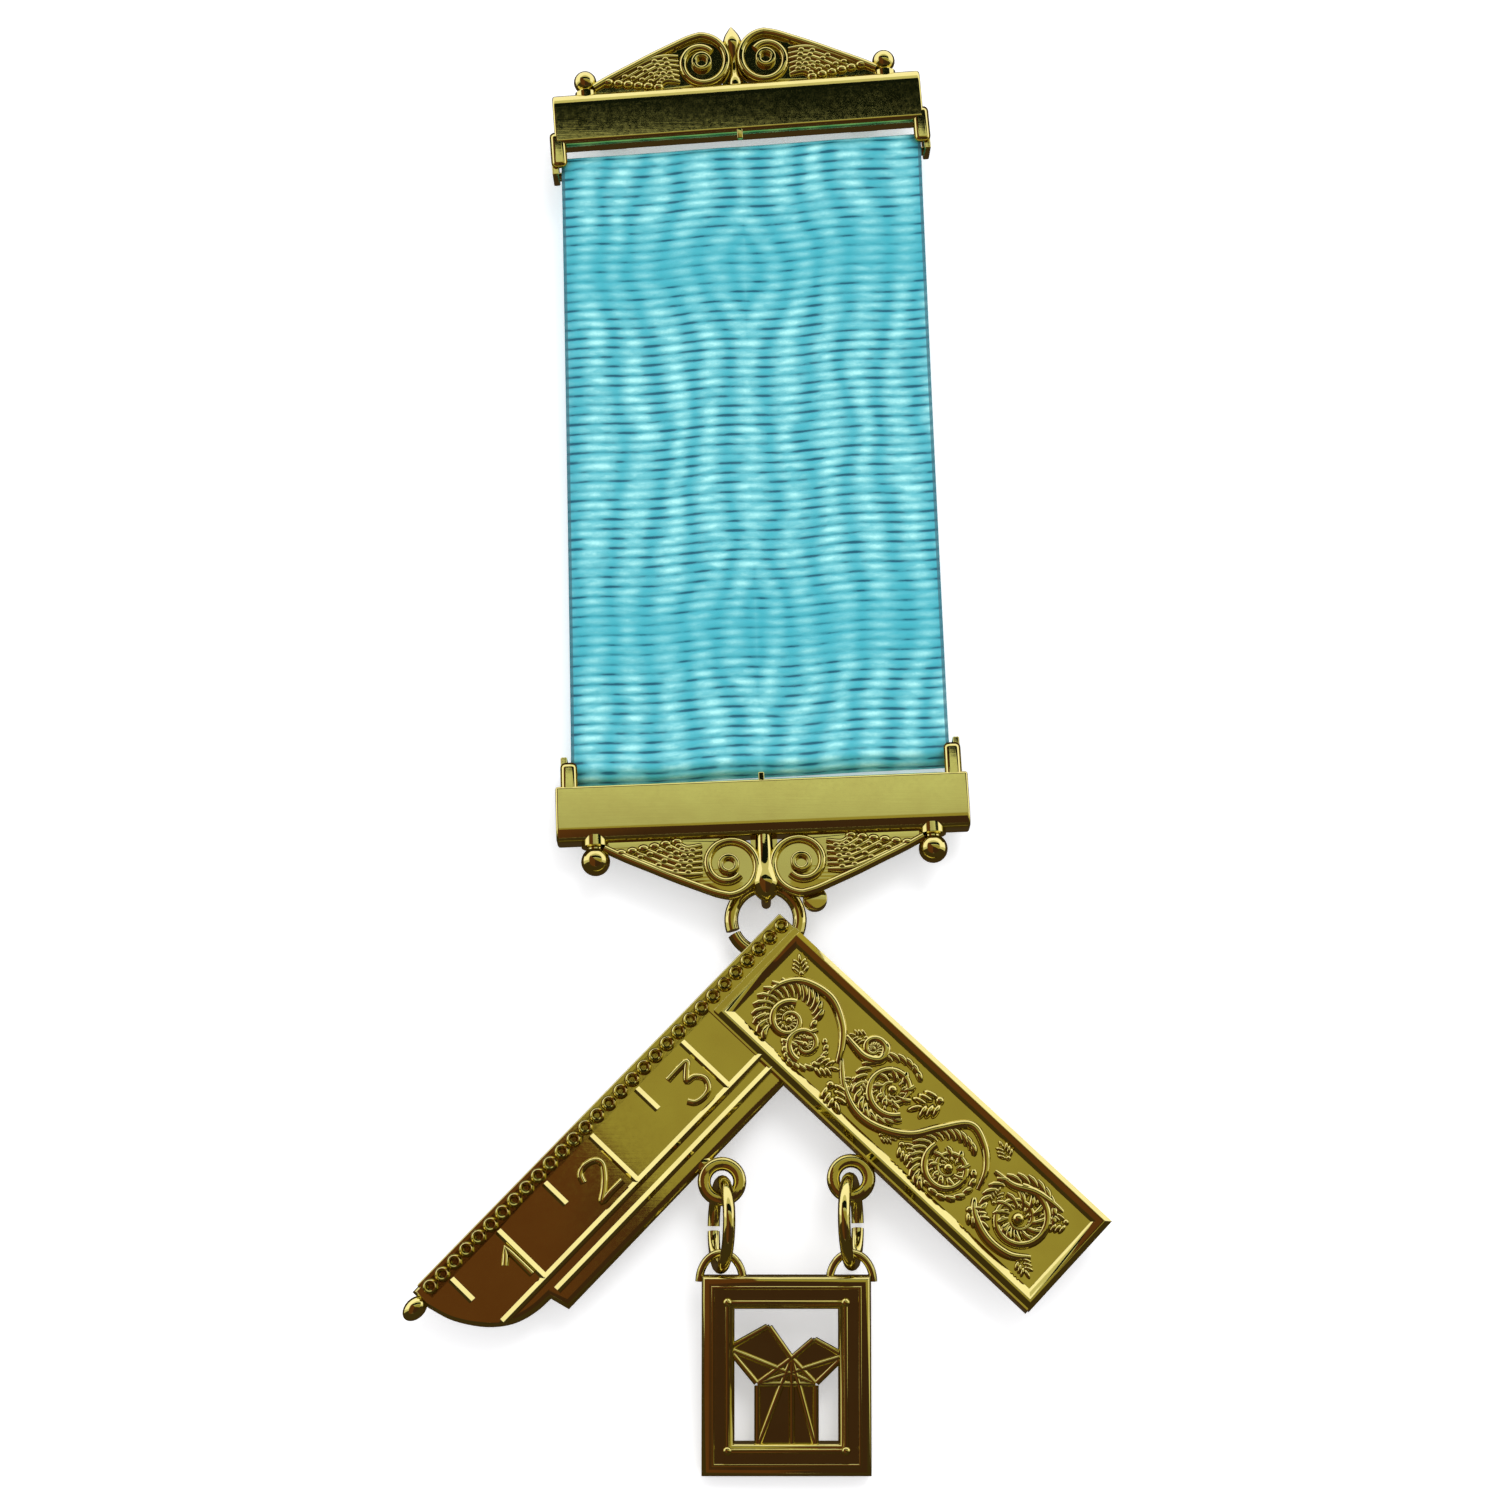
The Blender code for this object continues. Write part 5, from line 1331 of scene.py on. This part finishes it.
def reflected(name, mesh, colour, blend=None):
    """Something round the table that only reflections see; a blend is an axis, two places and a colour."""
    obj = bpy.data.objects.new(name, mesh)
    bpy.context.scene.collection.objects.link(obj)
    material = bpy.data.materials.new(name)
    material.use_nodes = True
    tree = material.node_tree
    tree.nodes.remove(tree.nodes["Principled BSDF"])
    glow = tree.nodes.new("ShaderNodeEmission")
    glow.inputs["Color"].default_value = colour
    if blend:
        axis, low, high, other = blend
        where = tree.nodes.new("ShaderNodeTexCoord")
        split = tree.nodes.new("ShaderNodeSeparateXYZ")
        tree.links.new(where.outputs["Object"], split.inputs["Vector"])
        share = mapped(tree, split.outputs[axis], low * MM, high * MM, 0.0, 1.0)
        tree.links.new(mixed(tree, share, colour, other), glow.inputs["Color"])
    tree.links.new(glow.outputs["Emission"], tree.nodes["Material Output"].inputs["Surface"])
    mesh.materials.append(material)
    obj.visible_camera = False
    obj.visible_diffuse = False
    obj.visible_shadow = False


def card(name, corners, height, colour, blend=None):
    """A level card over or under the table, from its corners and its height in millimetres."""
    mesh = bpy.data.meshes.new(name)
    mesh.from_pydata([(x * MM, y * MM, height * MM) for x, y in corners], [], [tuple(range(len(corners)))])
    reflected(name, mesh, colour, blend)


def wall(name, high, first, last, colour):
    """An upright part of a drum round the table, up to a height and between two headings."""
    mesh = bpy.data.meshes.new(name)
    path = arc((0.0, 0.0), WALL_RADIUS * MM, math.radians(first), math.radians(last), 32)
    places = lifted(path, UNDERSIDE * MM) + lifted(path, high * MM)
    count = len(path)
    faces = [(i, i + 1, i + 1 + count, i + count) for i in range(count - 1)]
    mesh.from_pydata(places, [], faces)
    reflected(name, mesh, colour)


def paper_floor():
    """The white surface that the jewel lies on. Reflections don't see it."""
    mesh = bpy.data.meshes.new("floor")
    mesh.from_pydata(lifted(centred(FLOOR_HALF * MM, FLOOR_HALF * MM), 0.0), [], [(0, 1, 2, 3)])
    floor = bpy.data.objects.new("floor", mesh)
    bpy.context.scene.collection.objects.link(floor)
    paper = plain_material("white_paper", PAPER, 0.9)
    shader = paper.node_tree.nodes["Principled BSDF"]
    shader.inputs["Emission Color"].default_value = WHITE
    shader.inputs["Emission Strength"].default_value = 0.37
    mesh.materials.append(paper)
    floor.visible_glossy = False


def cards():
    """What the polished faces reflect: cards above and below the table, and the walls round it."""
    card("underside", centred(WALL_RADIUS, WALL_RADIUS), UNDERSIDE, (0.060, 0.040, 0.022, 1.0))
    near_left = [(70, -12), (20, 10), (-12, 26), (-42, 55), (-CARD_HALF, 588)]
    card("dark_near", rectangle(-CARD_HALF, -CARD_HALF, CARD_HALF, -200)[:3] + near_left, 499,
         (0.150, 0.058, 0.030, 1.0), ("X", -45, -15, (0.062, 0.032, 0.028, 1.0)))
    strips = (
        # name, near edge, far edge, height, colour, blend
        ("ceiling_low", -200, 128, 501, (0.44, 0.40, 0.17, 1.0), None),
        ("ceiling", 128, 195, 501, (0.60, 0.63, 0.60, 1.0), ("Y", 168, 182, (0.80, 0.87, 0.85, 1.0))),
        ("dark_far", 195, 430, 500, (0.008, 0.012, 0.012, 1.0), None),
    )
    for name, near, far, height, colour, blend in strips:
        card(name, rectangle(-CARD_HALF, near, CARD_HALF, far), height, colour, blend)
    wall("bright_wall", 420, 5, 175, (1.5, 1.5, 2.2, 1.0))
    wall("dark_wall", 520, 190, 350, (0.062, 0.045, 0.026, 1.0))


def lights():
    """An even white tent, and a soft light from the upper right that throws the contact shadows."""
    world = bpy.data.worlds.new("tent")
    bpy.context.scene.world = world
    world.use_nodes = True
    background = world.node_tree.nodes["Background"]
    background.inputs["Color"].default_value = WHITE
    ray = world.node_tree.nodes.new("ShaderNodeLightPath")
    seen = math_node(world.node_tree, "MULTIPLY_ADD", ray.outputs["Is Camera Ray"], 0.3, 0.85)
    world.node_tree.links.new(seen, background.inputs["Strength"])
    sun = bpy.data.lights.new("window", "SUN")
    sun.energy = 0.7
    sun.angle = math.radians(25.0)
    lamp = bpy.data.objects.new("window", sun)
    lamp.rotation_euler = (math.radians(-28.0), math.radians(14.0), 0.0)
    lamp.visible_glossy = False
    bpy.context.scene.collection.objects.link(lamp)


def camera():
    data = bpy.data.cameras.new("camera")
    data.sensor_width = 36.0
    data.lens = FOCAL_LENGTH
    obj = bpy.data.objects.new("camera", data)
    bpy.context.scene.collection.objects.link(obj)
    reach = Vector((0.0, -math.sin(CAMERA_TILT), math.cos(CAMERA_TILT))) * CAMERA_DISTANCE
    obj.location = Vector(CAMERA_AIM) + reach
    obj.rotation_euler = (CAMERA_TILT, 0.0, 0.0)
    scene = bpy.context.scene
    scene.camera = obj
    scene.view_settings.view_transform = "Standard"


def build():
    gilt = gilt_material(wear_group())
    cloth = ribbon_path(RIBBON_DROP - 2 * LOOP_HALF)
    pitch = path_length(cloth) / round(path_length(cloth) / RIB_PITCH)
    silk = silk_material(moire_group(), pitch)
    for node, (mesh, turn) in (
            ("top_bar", top_bar()),
            ("brooch_pin", brooch_pin()),
            ("lower_bar", lower_bar()),
            ("big_ring", big_ring()),
            ("square", square()),
            ("jump_ring_left", jump_ring(JUMP_LEAN)),
            ("jump_ring_right", jump_ring(-JUMP_LEAN)),
            ("pendant", pendant())):
        settle(mesh, turn, node, gilt)
    ribbon(silk, cloth, pitch)
    paper_floor()
    cards()
    lights()
    camera()


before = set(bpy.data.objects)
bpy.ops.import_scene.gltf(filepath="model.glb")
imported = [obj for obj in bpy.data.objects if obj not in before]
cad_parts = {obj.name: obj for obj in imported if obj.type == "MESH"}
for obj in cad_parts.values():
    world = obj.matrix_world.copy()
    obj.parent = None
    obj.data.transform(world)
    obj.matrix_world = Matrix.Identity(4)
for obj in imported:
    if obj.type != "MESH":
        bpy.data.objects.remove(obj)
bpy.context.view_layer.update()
build()
